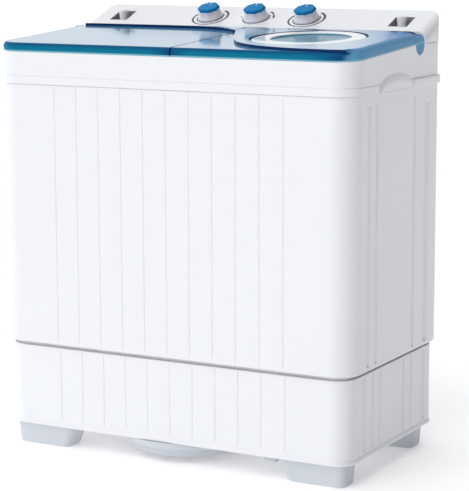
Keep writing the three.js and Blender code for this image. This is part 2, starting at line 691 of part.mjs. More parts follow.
function buildSpinDrive() {
  const { x, y } = spinAt;
  add('spin_shaft', steel, turned(
    [[0, 88], [7, 88], [7, 98], [34, 98], [34, 152], [7, 152], [7, 371.5], [0, 371.5]], x, y, 20,
  ));
  add('brake_drum', castMetal, turned(
    [[7.3, 190], [40, 190], [42, 192], [42, 212], [36, 212], [36, 196], [16, 196], [16, 206],
      [7.3, 206], [7.3, 190]],
    x, y, 20,
  ));
  add('spin_motor', motorPaint, motorHousing(60, 35, 84.4, 166, 8, spinAt));
  add('spin_motor_plate', steel, collar(30, 86, 80, 84, x, y, 20));
  [0.5, 2.6, 4.7].forEach((angle, i) => {
    const post = turned(
      [[0, 46.4], [17, 46.4], [17, 52], [13, 58], [16, 63], [13, 68], [15, 74], [15, 79.7], [0, 79.7]],
      x + 68 * Math.cos(angle), y + 68 * Math.sin(angle), 10,
    );
    add(`spin_mount_${i + 1}`, rubber, post);
  });
  const lever = cut(
    join(
      block(251, 257, -112, brakeAt.y, 196, 208),
      block(240, 252, -76, -52, 193, 211),
      disc(9, 195, 209, brakeAt.x, brakeAt.y, 16),
    ),
    disc(4.4, 180, 220, brakeAt.x, brakeAt.y, 16),
  );
  add('brake_lever', steel, lever);
}

function buildCapacitor() {
  const can = [[0, 46.4], [20, 46.4], [20, 98], [17, 102], [0, 102]];
  add('capacitor', footPlastic, turned(can, 60, 110, 16));
}

buildBase();
buildFeet();
buildMotorGuard();
buildCabinet();
buildDeck();
buildHingePins();
buildLids();
buildConsole();
buildKnobs();
buildWashTub();
buildWashDrive();
buildDrain();
buildSpinTub();
buildSpinDrive();
buildCapacitor();

export default washer;
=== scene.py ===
import json
import math

import bmesh
import bpy
from mathutils import Matrix, Vector

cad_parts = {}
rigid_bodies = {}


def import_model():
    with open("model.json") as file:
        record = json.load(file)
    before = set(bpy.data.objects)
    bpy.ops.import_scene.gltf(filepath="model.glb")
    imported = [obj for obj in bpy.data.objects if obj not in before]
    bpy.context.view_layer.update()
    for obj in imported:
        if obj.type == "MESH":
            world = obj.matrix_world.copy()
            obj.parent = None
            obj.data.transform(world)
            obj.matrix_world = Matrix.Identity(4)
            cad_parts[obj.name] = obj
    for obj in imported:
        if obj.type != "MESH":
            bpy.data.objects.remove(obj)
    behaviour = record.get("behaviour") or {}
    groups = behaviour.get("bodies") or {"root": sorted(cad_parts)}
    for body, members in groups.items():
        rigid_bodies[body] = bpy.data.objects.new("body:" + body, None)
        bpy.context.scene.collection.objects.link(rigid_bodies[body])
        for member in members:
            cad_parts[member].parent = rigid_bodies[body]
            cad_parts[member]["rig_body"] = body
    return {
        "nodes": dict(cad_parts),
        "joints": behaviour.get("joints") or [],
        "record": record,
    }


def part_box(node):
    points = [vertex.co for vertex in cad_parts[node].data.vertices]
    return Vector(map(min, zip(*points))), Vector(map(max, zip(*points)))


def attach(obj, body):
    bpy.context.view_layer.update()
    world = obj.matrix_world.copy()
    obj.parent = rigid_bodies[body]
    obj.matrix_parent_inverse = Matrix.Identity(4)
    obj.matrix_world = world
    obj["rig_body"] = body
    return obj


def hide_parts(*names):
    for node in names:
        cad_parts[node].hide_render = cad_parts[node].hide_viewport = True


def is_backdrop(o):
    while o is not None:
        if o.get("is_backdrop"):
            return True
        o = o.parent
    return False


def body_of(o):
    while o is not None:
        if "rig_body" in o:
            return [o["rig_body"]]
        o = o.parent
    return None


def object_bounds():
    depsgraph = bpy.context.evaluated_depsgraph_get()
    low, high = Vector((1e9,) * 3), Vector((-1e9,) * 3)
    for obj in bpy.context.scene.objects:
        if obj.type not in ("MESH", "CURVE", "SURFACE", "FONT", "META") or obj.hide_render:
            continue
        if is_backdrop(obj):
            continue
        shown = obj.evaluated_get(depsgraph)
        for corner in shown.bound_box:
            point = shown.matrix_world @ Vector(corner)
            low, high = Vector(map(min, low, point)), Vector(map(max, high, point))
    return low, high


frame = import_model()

CAD_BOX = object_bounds()
MM = 0.001

# ---- places taken from the frame
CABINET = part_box("cabinet")
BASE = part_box("base")
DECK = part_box("deck")
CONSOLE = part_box("console")
JOINTS = {joint["name"]: joint for joint in frame["joints"]}
HINGE = Vector(JOINTS["wash_lid_hinge"]["pos_m"])
FACE_NORMAL = -Vector(JOINTS["wash_timer_turn"]["axis"])
KNOBS = {name: Vector(JOINTS[name + "_turn"]["pos_m"])
         for name in ("wash_timer", "drain_selector", "spin_timer")}

# ---- sizes that the frame doesn't state
WALL = 3 * MM
CORNER = 45 * MM
BAND_X = 372.5 * MM
BAND_Y = 207.5 * MM
BAND_CORNER = 47.5 * MM
RIM_FRONT = 756 * MM
RIM_SLOPE = 0.06
RIM_ANGLE = math.atan(RIM_SLOPE)
SEAT = 771.7 * MM
LID_THICK = 16 * MM
RAISED = 5 * MM
LID_SEAM = 11.5 * MM
SEAM_GAP = 1.6 * MM
NOSE = 18.3 * MM
RAISED_NOSE = 23.3 * MM
SPIN_AT = Vector((0.195, -0.064, 0))
SPOUT_Y = 149 * MM
PULSATOR_AT = Vector((-0.180, -0.062, 0))
RING_AT = Vector((0.206, -0.041, 0))
RING_OUTER = 104.5
RING_INNER = 73
WINDOW_SHIFT = 10
CONSOLE_END = 18 * MM
FACE_ANGLE = math.atan2(-FACE_NORMAL.y, FACE_NORMAL.z)
FACE_POINT = KNOBS["drain_selector"]


def rim_z(y):
    return RIM_FRONT + RIM_SLOPE * (y + BAND_Y)


def face_z(y):
    return FACE_POINT.z + math.tan(FACE_ANGLE) * (y - FACE_POINT.y)


# ---- node materials
LID_END = 0.376
TINT_SHARE = 0.85
TINT_START = 0.02
SHARP_EDGE = (0.52, 0.62)
MOULD_GRAIN = 0.0004
METAL_GRAIN = 0.0003


def feed(tree, node, inputs):
    """Gives each input a value, or a link from another node's output."""
    for socket, value in inputs.items():
        if isinstance(value, bpy.types.NodeSocket):
            tree.links.new(value, node.inputs[socket])
        else:
            node.inputs[socket].default_value = value
    return node


def add(tree, kind, inputs, **settings):
    node = tree.nodes.new("ShaderNode" + kind)
    for key, value in settings.items():
        setattr(node, key, value)
    return feed(tree, node, inputs)


def node_material(name):
    material = bpy.data.materials.new(name)
    material.use_nodes = True
    tree = material.node_tree
    tree.nodes.clear()
    shader = add(tree, "BsdfPrincipled", {})
    add(tree, "OutputMaterial", {"Surface": shader.outputs["BSDF"]})
    return material, tree, shader


def noise(tree, scale, detail=3.0, stretch=(1, 1, 1)):
    place = add(tree, "TexCoord", {}).outputs["Object"]
    mapping = add(tree, "Mapping", {"Vector": place, "Scale": stretch})
    texture = {"Vector": mapping.outputs["Vector"], "Scale": scale, "Detail": detail}
    return add(tree, "TexNoise", texture).outputs["Fac"]


def span(tree, source, low, high, ends="To"):
    """Maps a value onto low to high, or with From, low to high onto 0 to 1."""
    return add(tree, "MapRange", {"Value": source, ends + " Min": low, ends + " Max": high}).outputs["Result"]


def mix(tree, factor, first, second):
    """Blends two tones. Each is a colour or another node's output."""
    first, second = [tone if isinstance(tone, bpy.types.NodeSocket) else (*tone, 1)
                     for tone in (first, second)]
    return add(tree, "Mix", {"Factor": factor, "A": first, "B": second}, data_type="RGBA").outputs["Result"]


def product(tree, first, second):
    return add(tree, "Math", {0: first, 1: second}, operation="MULTIPLY").outputs["Value"]


def relief(tree, height, strength, distance):
    return add(tree, "Bump", {"Height": height, "Strength": strength, "Distance": distance}).outputs["Normal"]


def worn_edges(tree, amount):
    """A mask of sharp convex edges, broken up by noise."""
    edge = span(tree, add(tree, "NewGeometry", {}).outputs["Pointiness"], *SHARP_EDGE, "From")
    return product(tree, product(tree, edge, noise(tree, 60)), amount)


def lid_place(tree, direction, low, high):
    """How far a point of a lid lies from low to high along a direction, as 0 to 1."""
    place = add(tree, "TexCoord", {}).outputs["Object"]
    along = add(tree, "VectorMath", {0: place, 1: direction}, operation="DOT_PRODUCT")
    return span(tree, along.outputs["Value"], low, high, "From")


def paint_shade_across(tree, tone, stops):
    """Paints shade and light onto a lid's tinted plastic by where it lies from left to right."""
    ramp = add(tree, "ValToRGB", {"Fac": lid_place(tree, (1, 0, 0), -LID_END, LID_END)})
    bar = ramp.color_ramp.elements
    while len(bar) < len(stops):
        bar.new(0.5)
    for element, (x, color) in zip(bar, stops):
        element.position = (x + LID_END) / (2 * LID_END)
        element.color = (*color, 1)
    return mix(tree, TINT_SHARE, tone, ramp.outputs["Color"])


def paint_edge_shade_light(tree, tone, direction, low, high, color, start=-1.0):
    """Blends a tone into another one along one edge of a lid, to the right of start; used for painted shade
    and painted light on the lids' edges.
    """
    share = product(tree, lid_place(tree, direction, low, high),
                    lid_place(tree, (1, 0, 0), start, start + TINT_START))
    return mix(tree, share, tone, color)


def plastic(name, color, shade, rough, grain=900, bump=0.02, coat=0.0, specular=0.5, wear=0.35,
            stops=None, edges=()):
    """Moulded plastic: a slow drift of tone, a fine mould grain and slightly duller worn edges. Stops and
    edges paint shade and light onto a lid's plastic.
    """
    material, tree, shader = node_material(name)
    tone = mix(tree, noise(tree, 2.5, 2), color, shade)
    if stops:
        tone = paint_shade_across(tree, tone, stops)
    for painted_edge in edges:
        tone = paint_edge_shade_light(tree, tone, *painted_edge)
    duller = [min(1.0, c * 0.9 + 0.06) for c in color]
    feed(tree, shader, {
        "Base Color": mix(tree, worn_edges(tree, wear), tone, duller),
        "Roughness": span(tree, noise(tree, 9, 4), rough * 0.82, rough * 1.2),
        "Normal": relief(tree, noise(tree, grain, 2), bump, MOULD_GRAIN),
        "Coat Weight": coat, "Coat Roughness": 0.06, "Specular IOR Level": specular, "IOR": 1.46,
    })
    return material


def metal(name, color, shade, rough, stretch=(1, 1, 12), scale=160, bump=0.08):
    """Brushed or machined metal: streaks along one direction, and roughness that follows them."""
    material, tree, shader = node_material(name)
    streaks = noise(tree, scale, 4, stretch)
    feed(tree, shader, {
        "Base Color": mix(tree, streaks, color, shade), "Metallic": 1.0,
        "Roughness": span(tree, streaks, rough * 0.7, rough * 1.35),
        "Normal": relief(tree, streaks, bump, METAL_GRAIN),
    })
    return material


WHITE = plastic("white_shell", (0.86, 0.875, 0.90), (0.85, 0.865, 0.892), 0.30, coat=0.2)
FOOT = plastic("foot_plastic", (0.66, 0.69, 0.74), (0.61, 0.64, 0.70), 0.42, grain=500, bump=0.05)
# Lid tones that stand for light and shade on the one blue lid plastic: teal and navy are painted shade, sky
# blue is painted light.
SKIRT_TEAL_SHADE = (0.001, 0.165, 0.285)
NAVY_SHADE = (0.001, 0.035, 0.15)
SKY_BLUE_LIGHT = (0.13, 0.34, 0.58)
LID_UP = (0, -RIM_SLOPE, 1)
LID_FOOT = 0.76845
# Painted shade: over this span the spin lid's top is painted a deeper blue towards its right end, and its
# specular and coat fade out there.
LID_RIGHT_SHADE = ((1, 0.4, 0), 0.27, 0.345)
# Lid plastic with painted shade: the deeper blue over the spin lid's right end, and a navy band of painted
# shadow along the rear edge by the hinge.
LID = plastic("lid_blue", (0.10, 0.34, 0.56), (0.07, 0.30, 0.50), 0.12, coat=0.4, wear=0.1,
              edges=((*LID_RIGHT_SHADE, (0.06, 0.23, 0.53)),
                     ((0, 1, 0), HINGE.y - 0.009, HINGE.y - 0.006, NAVY_SHADE, 0.012)))
for socket, plain in (("Specular IOR Level", 0.5), ("Coat Weight", 0.4)):
    fade = span(LID.node_tree, lid_place(LID.node_tree, *LID_RIGHT_SHADE), plain, plain * 0.03)
    feed(LID.node_tree, LID.node_tree.nodes["Principled BSDF"], {socket: fade})
# Shaded copy of the lid plastic: painted navy shade for the steep walls of the raised field.
LID_WALL_SHADE = plastic("lid_wall_shade", (0.001, 0.022, 0.11), (0.002, 0.035, 0.14), 0.35, specular=0.1, wear=0.05)
# Shaded copy of the lid plastic for the skirt and sides: painted teal shade, with painted navy shade at the
# ends, at the seam and along the skirt's top. It has painted light in lighter blue on the right end, and a
# painted highlight line along the bottom edge.
LID_SKIRT_SHADE = plastic("lid_skirt_shade", SKIRT_TEAL_SHADE, (0.001, 0.18, 0.30), 0.3, specular=0.06, wear=0.1,
                    stops=((-LID_END, NAVY_SHADE), (-0.350, SKIRT_TEAL_SHADE), (-0.03, SKIRT_TEAL_SHADE), (0.009, NAVY_SHADE), (0.05, SKIRT_TEAL_SHADE),
                           (0.29, SKIRT_TEAL_SHADE), (0.347, NAVY_SHADE), (0.362, SKY_BLUE_LIGHT), (LID_END, SKY_BLUE_LIGHT)),
                    edges=((LID_UP, LID_FOOT + 0.009, LID_FOOT + 0.014, (0.001, 0.09, 0.22)),
                           ((1, 0, 0), 0.352, 0.364, SKY_BLUE_LIGHT),
                           (LID_UP, LID_FOOT + 0.0034, LID_FOOT + 0.0020, (0.22, 0.50, 0.64)),
                           (LID_UP, LID_FOOT - 0.0002, LID_FOOT - 0.0010, SKY_BLUE_LIGHT)))
WINDOW = plastic("lid_window", (0.04, 0.26, 0.38), (0.02, 0.18, 0.30), 0.16, specular=0.14, wear=0.0)
RING = plastic("lid_ring", (0.85, 0.91, 0.93), (0.80, 0.87, 0.90), 0.16, coat=0.5)
CAP = plastic("knob_cap", (0.002, 0.20, 0.47), (0.002, 0.23, 0.52), 0.45, specular=0.08, wear=0.05)
KNOB = plastic("knob_body", (0.80, 0.79, 0.88), (0.83, 0.82, 0.90), 0.25, coat=0.2)
TUB = plastic("tub_plastic", (0.74, 0.79, 0.83), (0.70, 0.76, 0.80), 0.30, grain=400, bump=0.04)
BLUE = plastic("pulsator_plastic", (0.10, 0.34, 0.60), (0.08, 0.29, 0.54), 0.28)
GREY = plastic("grey_plastic", (0.10, 0.11, 0.13), (0.13, 0.14, 0.16), 0.5, bump=0.06)
# Painted shade: mid grey for the inlet pockets, standing for the shade inside them.
POCKET_SHADE = plastic("pocket_shade_grey", (0.24, 0.25, 0.27), (0.28, 0.29, 0.31), 0.45)
# Dark ink for the dial print, and for the painted shadow arcs beside the knobs' feet.
INK_PRINT_AND_SHADOW = plastic("print_and_shadow_ink", (0.03, 0.032, 0.04), (0.04, 0.04, 0.05), 0.5, wear=0.0)
RUBBER = plastic("rubber", (0.016, 0.016, 0.018), (0.024, 0.024, 0.026), 0.75, grain=300, bump=0.15)
STEEL = metal("steel", (0.62, 0.63, 0.64), (0.48, 0.49, 0.51), 0.32)
CAST = metal("cast_metal", (0.42, 0.43, 0.44), (0.33, 0.34, 0.36), 0.5, stretch=(1, 1, 1), scale=320,
             bump=0.25)
ENAMEL = plastic("motor_paint", (0.035, 0.038, 0.045), (0.05, 0.053, 0.06), 0.4, grain=250, bump=0.12)

SLOT_LOOKS = {
    "white_shell": WHITE, "foot_plastic": FOOT, "blue_lid": LID, "lid_window": WINDOW, "lid_ring": RING,
    "knob_cap": CAP, "knob_body": KNOB, "tub_plastic": TUB, "pulsator_plastic": BLUE, "grey_plastic": GREY,
    "rubber": RUBBER, "steel": STEEL, "cast_metal": CAST, "motor_paint": ENAMEL,
}


# ---- mesh helpers
def new_object(name, verts, faces):
    mesh = bpy.data.meshes.new(name)
    mesh.from_pydata([tuple(v) for v in verts], [], faces)
    mesh.validate()
    obj = bpy.data.objects.new(name, mesh)
    bpy.context.scene.collection.objects.link(obj)
    return obj


def apply_modifiers(obj):
    graph = bpy.context.evaluated_depsgraph_get()
    baked = bpy.data.meshes.new_from_object(obj.evaluated_get(graph))
    old = obj.data
    obj.modifiers.clear()
    obj.data = baked
    bpy.data.meshes.remove(old)
    return obj


def edit(obj, action):
    mesh = bmesh.new()
    mesh.from_mesh(obj.data)
    action(mesh)
    mesh.to_mesh(obj.data)
    mesh.free()
    return obj


def outward(obj):
    return edit(obj, lambda mesh: bmesh.ops.recalc_face_normals(mesh, faces=mesh.faces))


def boolean(obj, operation, *tools):
    for tool in tools:
        cutter = obj.modifiers.new("boolean", "BOOLEAN")
        cutter.operation = operation
        cutter.object = tool
        cutter.solver = "EXACT"
        bpy.context.view_layer.update()
        apply_modifiers(obj)
        bpy.data.objects.remove(tool)
    return obj


def cut(obj, *tools):
    return boolean(obj, "DIFFERENCE", *tools)


def join(obj, *tools):
    return boolean(obj, "UNION", *tools)


def common(obj, *tools):
    return boolean(obj, "INTERSECT", *tools)


def tidy(obj, angle=0.5):
    """Welds the mesh and joins the flat slivers that a cut leaves."""
    def clean(mesh):
        bmesh.ops.remove_doubles(mesh, verts=mesh.verts, dist=1e-6)
        bmesh.ops.dissolve_limit(
            mesh, angle_limit=math.radians(angle), verts=mesh.verts, edges=mesh.edges, delimit={"MATERIAL"}
        )
    return edit(obj, clean)


def soften(obj, width=1 * MM, segments=2, angle=35, smooth=40):
    """Rounds the sharp edges and shades the rest smooth."""
    bevel = obj.modifiers.new("bevel", "BEVEL")
    bevel.width = width
    bevel.segments = segments
    bevel.limit_method = "ANGLE"
    bevel.angle_limit = math.radians(angle)
    bevel.use_clamp_overlap = True
    bevel.harden_normals = False
    bpy.context.view_layer.update()
    apply_modifiers(obj)
    return shade(obj, smooth)


def shade(obj, angle=40):
    obj.data.shade_smooth()
    obj.data.set_sharp_from_angle(angle=math.radians(angle))
    weighted = obj.modifiers.new("weighted", "WEIGHTED_NORMAL")
    weighted.keep_sharp = True
    bpy.context.view_layer.update()
    return apply_modifiers(obj)


def dress(obj, body, slot, *nodes, material=None):
    if not obj.data.materials:
        obj.data.materials.append(material or SLOT_LOOKS[slot])
    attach(obj, body)
    if nodes:
        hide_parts(*nodes)
    return obj


def arc_points(cx, cy, radius, start, end, steps):
    return [
        (cx + radius * math.cos(start + (end - start) * i / steps),
         cy + radius * math.sin(start + (end - start) * i / steps))
        for i in range(steps + 1)
    ]


def rounded_outline(x0, x1, y0, y1, radii, steps=12):
    """Corner radii in the order front left, front right, rear right, rear left."""
    r00, r10, r11, r01 = radii if isinstance(radii, (tuple, list)) else (radii,) * 4
    corners = [
        (x0 + r00, y0 + r00, r00, math.pi), (x1 - r10, y0 + r10, r10, 1.5 * math.pi),
        (x1 - r11, y1 - r11, r11, 0.0), (x0 + r01, y1 - r01, r01, 0.5 * math.pi),
    ]
    points = []
    for cx, cy, radius, start in corners:
        if radius > 0:
            points += arc_points(cx, cy, radius, start, start + math.pi / 2, steps)
        else:
            points.append((cx, cy))
    return points


def prism(outline, z0, z1, name="prism"):
    count = len(outline)
    verts = [(x, y, z0) for x, y in outline] + [(x, y, z1) for x, y in outline]
    faces = [list(range(count))[::-1], list(range(count, 2 * count))]
    faces += [[i, (i + 1) % count, count + (i + 1) % count, count + i] for i in range(count)]
    return outward(new_object(name, verts, faces))


def turn_to(obj, columns):
    """Maps the mesh's own axes onto the three given directions."""
    matrix = Matrix(columns).transposed().to_4x4()
    obj.data.transform(matrix)
    return outward(obj)


def prism_x(profile, x0, x1):
    """A (y, z) profile pulled along X."""
    return turn_to(prism(profile, x0, x1), ((0, 1, 0), (0, 0, 1), (1, 0, 0)))


def prism_y(outline, y0, y1):
    """An (x, z) outline pulled along Y."""
    return turn_to(prism([(z, x) for x, z in outline], y0, y1), ((0, 0, 1), (1, 0, 0), (0, 1, 0)))


def place(obj, spot, turn=0.0, axis="Z"):
    obj.data.transform(Matrix.Translation(spot) @ Matrix.Rotation(turn, 4, axis))
    return obj


def mm(*values):
    return [value * MM for value in values]


def block(x0, x1, y0, y1, z0, z1):
    return prism([(x0, y0), (x1, y0), (x1, y1), (x0, y1)], z0, z1)


def circle(radius, steps, cx=0.0, cy=0.0):
    return [
        (cx + radius * math.cos(2 * math.pi * i / steps), cy + radius * math.sin(2 * math.pi * i / steps))
        for i in range(steps)
    ]


def rod_x(radius, x0, x1, y, z, steps=64):
    return prism_x([(y + a, z + b) for a, b in circle(radius, steps)], x0, x1)


def hinge_rod(radius, x0, x1, steps=64):
    return rod_x(radius, x0, x1, HINGE.y, HINGE.z, steps)


def disc(radius, z0, z1, x=0.0, y=0.0, steps=64):
    return prism(circle(radius, steps, x, y), z0, z1)


def lathe(name, profile, at=(0, 0), steps=96):
    """A profile of (radius, z) points in millimetres, turned about Z. It starts and ends on the axis,
    or closes on itself."""
    closed = profile[0] == profile[-1]
    points = [Vector((r * MM, z * MM)) for r, z in (profile[:-1] if closed else profile)]
    verts = []
    rows = []
    for r, z in points:
        if r < 1e-9:
            verts.append((at[0], at[1], z))
            rows.append([len(verts) - 1] * steps)
            continue
        rows.append(list(range(len(verts), len(verts) + steps)))
        verts += [(x, y, z) for x, y in circle(r, steps, *at)]
    faces = []
    pairs = list(zip(rows, rows[1:] + rows[:1] if closed else rows[1:]))
    for low, high in pairs:
        for i in range(steps):
            j = (i + 1) % steps
            face = []
            for v in (low[i], low[j], high[j], high[i]):
                if v not in face:
                    face.append(v)
            if len(face) > 2:
                faces.append(face)
    return outward(new_object(name, verts, faces))


def skin(name, rings, looped=False):
    """Joins rings of points of one length. The ends are closed with flat faces, or the rings form a loop."""
    count = len(rings[0])
    faces = []
    for k in range(len(rings) if looped else len(rings) - 1):
        a, b = k * count, ((k + 1) % len(rings)) * count
        faces += [[a + i, a + (i + 1) % count, b + (i + 1) % count, b + i] for i in range(count)]
    if not looped:
        faces += [list(range(count)), list(range((len(rings) - 1) * count, len(rings) * count))]
    return outward(new_object(name, [v for ring in rings for v in ring], faces))


def loft(name, rings, looped=False):
    return shade(skin(name, rings, looped), 50)


def fillet(profile, radius, steps=4, sharp=()):
    """Rounds each corner of a (radius, z) profile in millimetres, apart from its ends and the sharp ones."""
    closed = profile[0] == profile[-1]
    ring = profile[:-1] if closed else profile
    count = len(ring)
    rounded = []
    for i, point in enumerate(ring):
        here = Vector(point)
        if (not closed and i in (0, count - 1)) or i in sharp:
            rounded.append(tuple(here))
            continue
        before = Vector(ring[(i - 1) % count]) - here
        after = Vector(ring[(i + 1) % count]) - here
        reach = min(radius, before.length * 0.45, after.length * 0.45)
        start = here + before.normalized() * reach
        end = here + after.normalized() * reach
        for k in range(steps + 1):
            t = k / steps
            spot = start * (1 - t) ** 2 + here * 2 * t * (1 - t) + end * t ** 2
            rounded.append(tuple(spot))
    if closed:
        rounded.append(rounded[0])
    return rounded


# ---- ribbed shells: cabinet and base
def shell_columns(half_x, half_y, corner, front_marks, side_marks):
    """The outline of a shell seen from above, counter-clockwise, as (point, normal, mark) columns.
    Where a groove or flute runs, a mark is (offset from its centre, half width, depth, top height)."""
    spread = (-1.0, -0.75, -0.5, -0.25, 0.0, 0.25, 0.5, 0.75, 1.0)
    columns = []

    def stretch(start, direction, marks):
        spots = []
        for centre, half, depth, high in marks:
            spots += [(centre + s * half, (s * half, half, depth, high)) for s in spread]
        spots.sort(key=lambda spot: spot[0])
        normal = Vector((direction.y, -direction.x))
        for along, mark in spots:
            columns.append((start + direction * along, normal, mark))

    def bend(cx, cy, start):
        steps = 14
        for i in range(steps + 1):
            angle = start + math.pi / 2 * i / steps
            normal = Vector((math.cos(angle), math.sin(angle)))
            columns.append((Vector((cx, cy)) + normal * corner, normal, None))

    bend(-half_x + corner, -half_y + corner, math.pi)
    stretch(Vector((0, -half_y)), Vector((1, 0)), front_marks)
    bend(half_x - corner, -half_y + corner, 1.5 * math.pi)
    stretch(Vector((half_x, 0)), Vector((0, 1)), side_marks)
    bend(half_x - corner, half_y - corner, 0.0)
    bend(-half_x + corner, half_y - corner, 0.5 * math.pi)
    mirrored = [(-centre, half, depth, high) for centre, half, depth, high in side_marks]
    stretch(Vector((-half_x, 0)), Vector((0, -1)), mirrored)
    return columns


def groove_depth(mark, z, low):
    """How far a groove is sunk at height z: full between its ends, which are round."""
    offset, half, depth, high = mark
    side = min(1.0, abs(offset) / half)
    round_end = half * (1 - math.sqrt(max(0.0, 1 - side * side)))
    ease = 5 * MM
    inside = min(z - (low + round_end), (high - round_end) - z)
    fade = max(0.0, min(1.0, inside / ease))
    profile = 0.5 * (1 + math.cos(math.pi * side))
    return depth * profile * fade * fade * (3 - 2 * fade)


def ribbed_shell(name, box, corner, rows, low, front_marks, side_marks):
    """A thin-walled shell, open at both ends. rows are (height, inset) from bottom to top."""
    half_x, half_y = box[1].x, box[1].y
    columns = shell_columns(half_x, half_y, corner, front_marks, side_marks)
    outer = []
    for z, inset in rows:
        ring = []
        for point, normal, mark in columns:
            sink = inset + (groove_depth(mark, z, low) if mark else 0.0)
            spot = point - normal * sink
            ring.append((spot.x, spot.y, z))
        outer.append(ring)
    thin = WALL + 2 * MM
    inner = []
    for z, inset in (rows[-1], rows[0]):
        inner.append([(*(point - normal * (inset + thin)), z) for point, normal, mark in columns])
    return loft(name, outer + inner, looped=True)


def rounded_rows(z0, z1, radius_low, radius_high, inner_heights):
    """(height, inset) rows of a wall whose lower and upper edges are rounded inwards."""
    steps = 5
    rows = [(z0 + radius_low * (1 - math.cos(math.pi / 2 * i / steps)),
             radius_low * (1 - math.sin(math.pi / 2 * i / steps))) for i in range(steps + 1)]
    rows += [(z, 0.0) for z in inner_heights]
    rows += [(z1 - radius_high * (1 - math.sin(math.pi / 2 * i / steps)),
              radius_high * (1 - math.cos(math.pi / 2 * i / steps))) for i in range(steps + 1)]
    return rows


FRONT_PITCH = 47.7 * MM


def front_grooves(high):
    return [(FRONT_PITCH * (i - 5), 1.8 * MM, 1.5 * MM, high) for i in range(11)]


def end_rows(low, tops):
    """Heights that follow the round ends of the grooves."""
    ease = [0.0, 1, 2, 3, 4.5, 6, 8, 11, 15, 20]
    rows = {low + e * MM for e in ease}
    for high in tops:
        rows |= {high - e * MM for e in ease} | {high + 1 * MM}
    rows |= {low + (max(tops) - low) * t for t in (0.2, 0.4, 0.6, 0.8)}
    return sorted(rows)


def build_cabinet():
    z0, z1 = CABINET[0].z, CABINET[1].z
    low, front_top, flute_top, wide_top = z0 + 6 * MM, z1 - 2.4 * MM, 681 * MM, 670 * MM
    flutes = [(y * MM, 7 * MM, 3.2 * MM, flute_top) for y in (-132, -98, 65)]
    flutes.append((*mm(121, 13, 3.6), wide_top))
    heights = end_rows(low, (front_top, flute_top, wide_top))
    rows = rounded_rows(z0, z1, 3 * MM, 1 * MM, [z for z in heights if z < z1 - 1.2 * MM])
    shell = ribbed_shell("cabinet_shell", CABINET, CORNER, rows, low, front_grooves(front_top), flutes)
    dress(shell, "housing", "white_shell", "cabinet")


def build_base():
    z0, z1 = BASE[0].z, BASE[1].z
    gap_low = z1 - 6.5 * MM
    low, high = z0 + 12.5 * MM, gap_low - 1.6 * MM
    flutes = [(y * MM, half * MM, depth * MM, high) for y, half, depth in
              ((-127, 6, 2.8), (-91, 6, 2.8), (-60, 5, 2.2), (45, 5, 2.4), (80, 6, 2.8), (136, 11, 3.0))]
    rows = rounded_rows(z0, gap_low, 4 * MM, 1 * MM, end_rows(low, (high,)))
    rows += [(gap_low + 0.5 * MM, 5.5 * MM), (z1 - 0.4 * MM, 5.5 * MM)]
    shell = ribbed_shell("base_shell", BASE, CORNER - 8 * MM, rows, low, front_grooves(high), flutes)
    dress(shell, "housing", "white_shell", "base")
    rings = []
    for z, proud in ((0.3, -2.0), (0.3, 0.6), (0.9, 1.4), (2.2, 1.9), (4.0, 1.9), (6.0, 1.4), (8.0, 0.7),
                     (10, 0.1), (11.5, -0.5), (11.5, -2.0)):
        x, y = BASE[1].x + proud * MM, BASE[1].y + proud * MM
        outline = rounded_outline(-x, x, -y, y, CORNER - 8 * MM + proud * MM, 16)
        rings.append([(a, b, z0 + z * MM) for a, b in outline])
    dress(loft("base_lip", rings, looped=True), "housing", "white_shell")
    half_x, half_y = BASE[1].x - 11 * MM, BASE[1].y - 11 * MM
    floor = prism(rounded_outline(-half_x, half_x, -half_y, half_y, 28 * MM), z0 + 0.2 * MM, z0 + 4 * MM)
    floor.name = "base_floor"
    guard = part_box("motor_guard")
    centre = (guard[0] + guard[1]) / 2
    cut(floor, disc(98 * MM, 0, 0.2, centre.x, centre.y))
    dress(soften(floor, 1.2 * MM), "housing", "white_shell")
    tab = soften(block(*mm(174, 200, -158, -144, 22), z0 + 0.3 * MM), 2 * MM, 3)
    tab.name = "transit_tab"
    dress(tab, "housing", "foot_plastic")


def build_feet():
    for name in ("foot_front_left", "foot_front_right", "foot_rear_left", "foot_rear_right"):
        low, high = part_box(name)
        centre = (low + high) / 2
        outward_side = math.copysign(1, centre.x)
        half_x, half_y = (high.x - low.x) / 2, (high.y - low.y) / 2
        rings = []
        levels = [(0, 3.2), (0.5, 1.9), (1.4, 0.9), (2.6, 0.3), (4.5, 0), (14, 0), (28, 0), (39, 0),
                  (41.7, 0)]
        for z, inset in levels:
            drop = 1 - z / 42
            inner = half_x - 16 * MM * drop - inset * MM
            outer = half_x - 3 * MM * drop - inset * MM
            x0, x1 = (-inner, outer) if outward_side > 0 else (-outer, inner)
            hy = half_y * (1 - 0.08 * drop) - inset * MM
            rings.append([(centre.x + x, centre.y + y, z * MM)
                          for x, y in rounded_outline(x0, x1, -hy, hy, (14 - inset) * MM, 8)])
        foot = loft(name + "_pad", rings)
        dress(foot, "housing", "foot_plastic", name)


def build_motor_guard():
    low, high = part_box("motor_guard")
    at = ((low.x + high.x) / 2, (low.y + high.y) / 2)
    profile = [(0, 12), (104, 12), (113, 17), (115, 27), (124, 30), (126, 34), (126, 41.7), (110, 41.7),
               (110, 40), (122, 40), (122, 34), (111, 30), (109, 19), (103, 15), (0, 15)]
    dish = lathe("motor_guard_dish", fillet(profile, 0.8), at)
    slots = []
    for i in range(12):
        slot = prism(rounded_outline(*mm(45, 92, -3.5, 3.5, 3.4), 5), 5 * MM, 20 * MM)
        slots.append(place(slot, (*at, 0), i * math.pi / 6))
    cut(dish, *slots)
    dress(shade(dish, 35), "housing", "foot_plastic", "motor_guard")


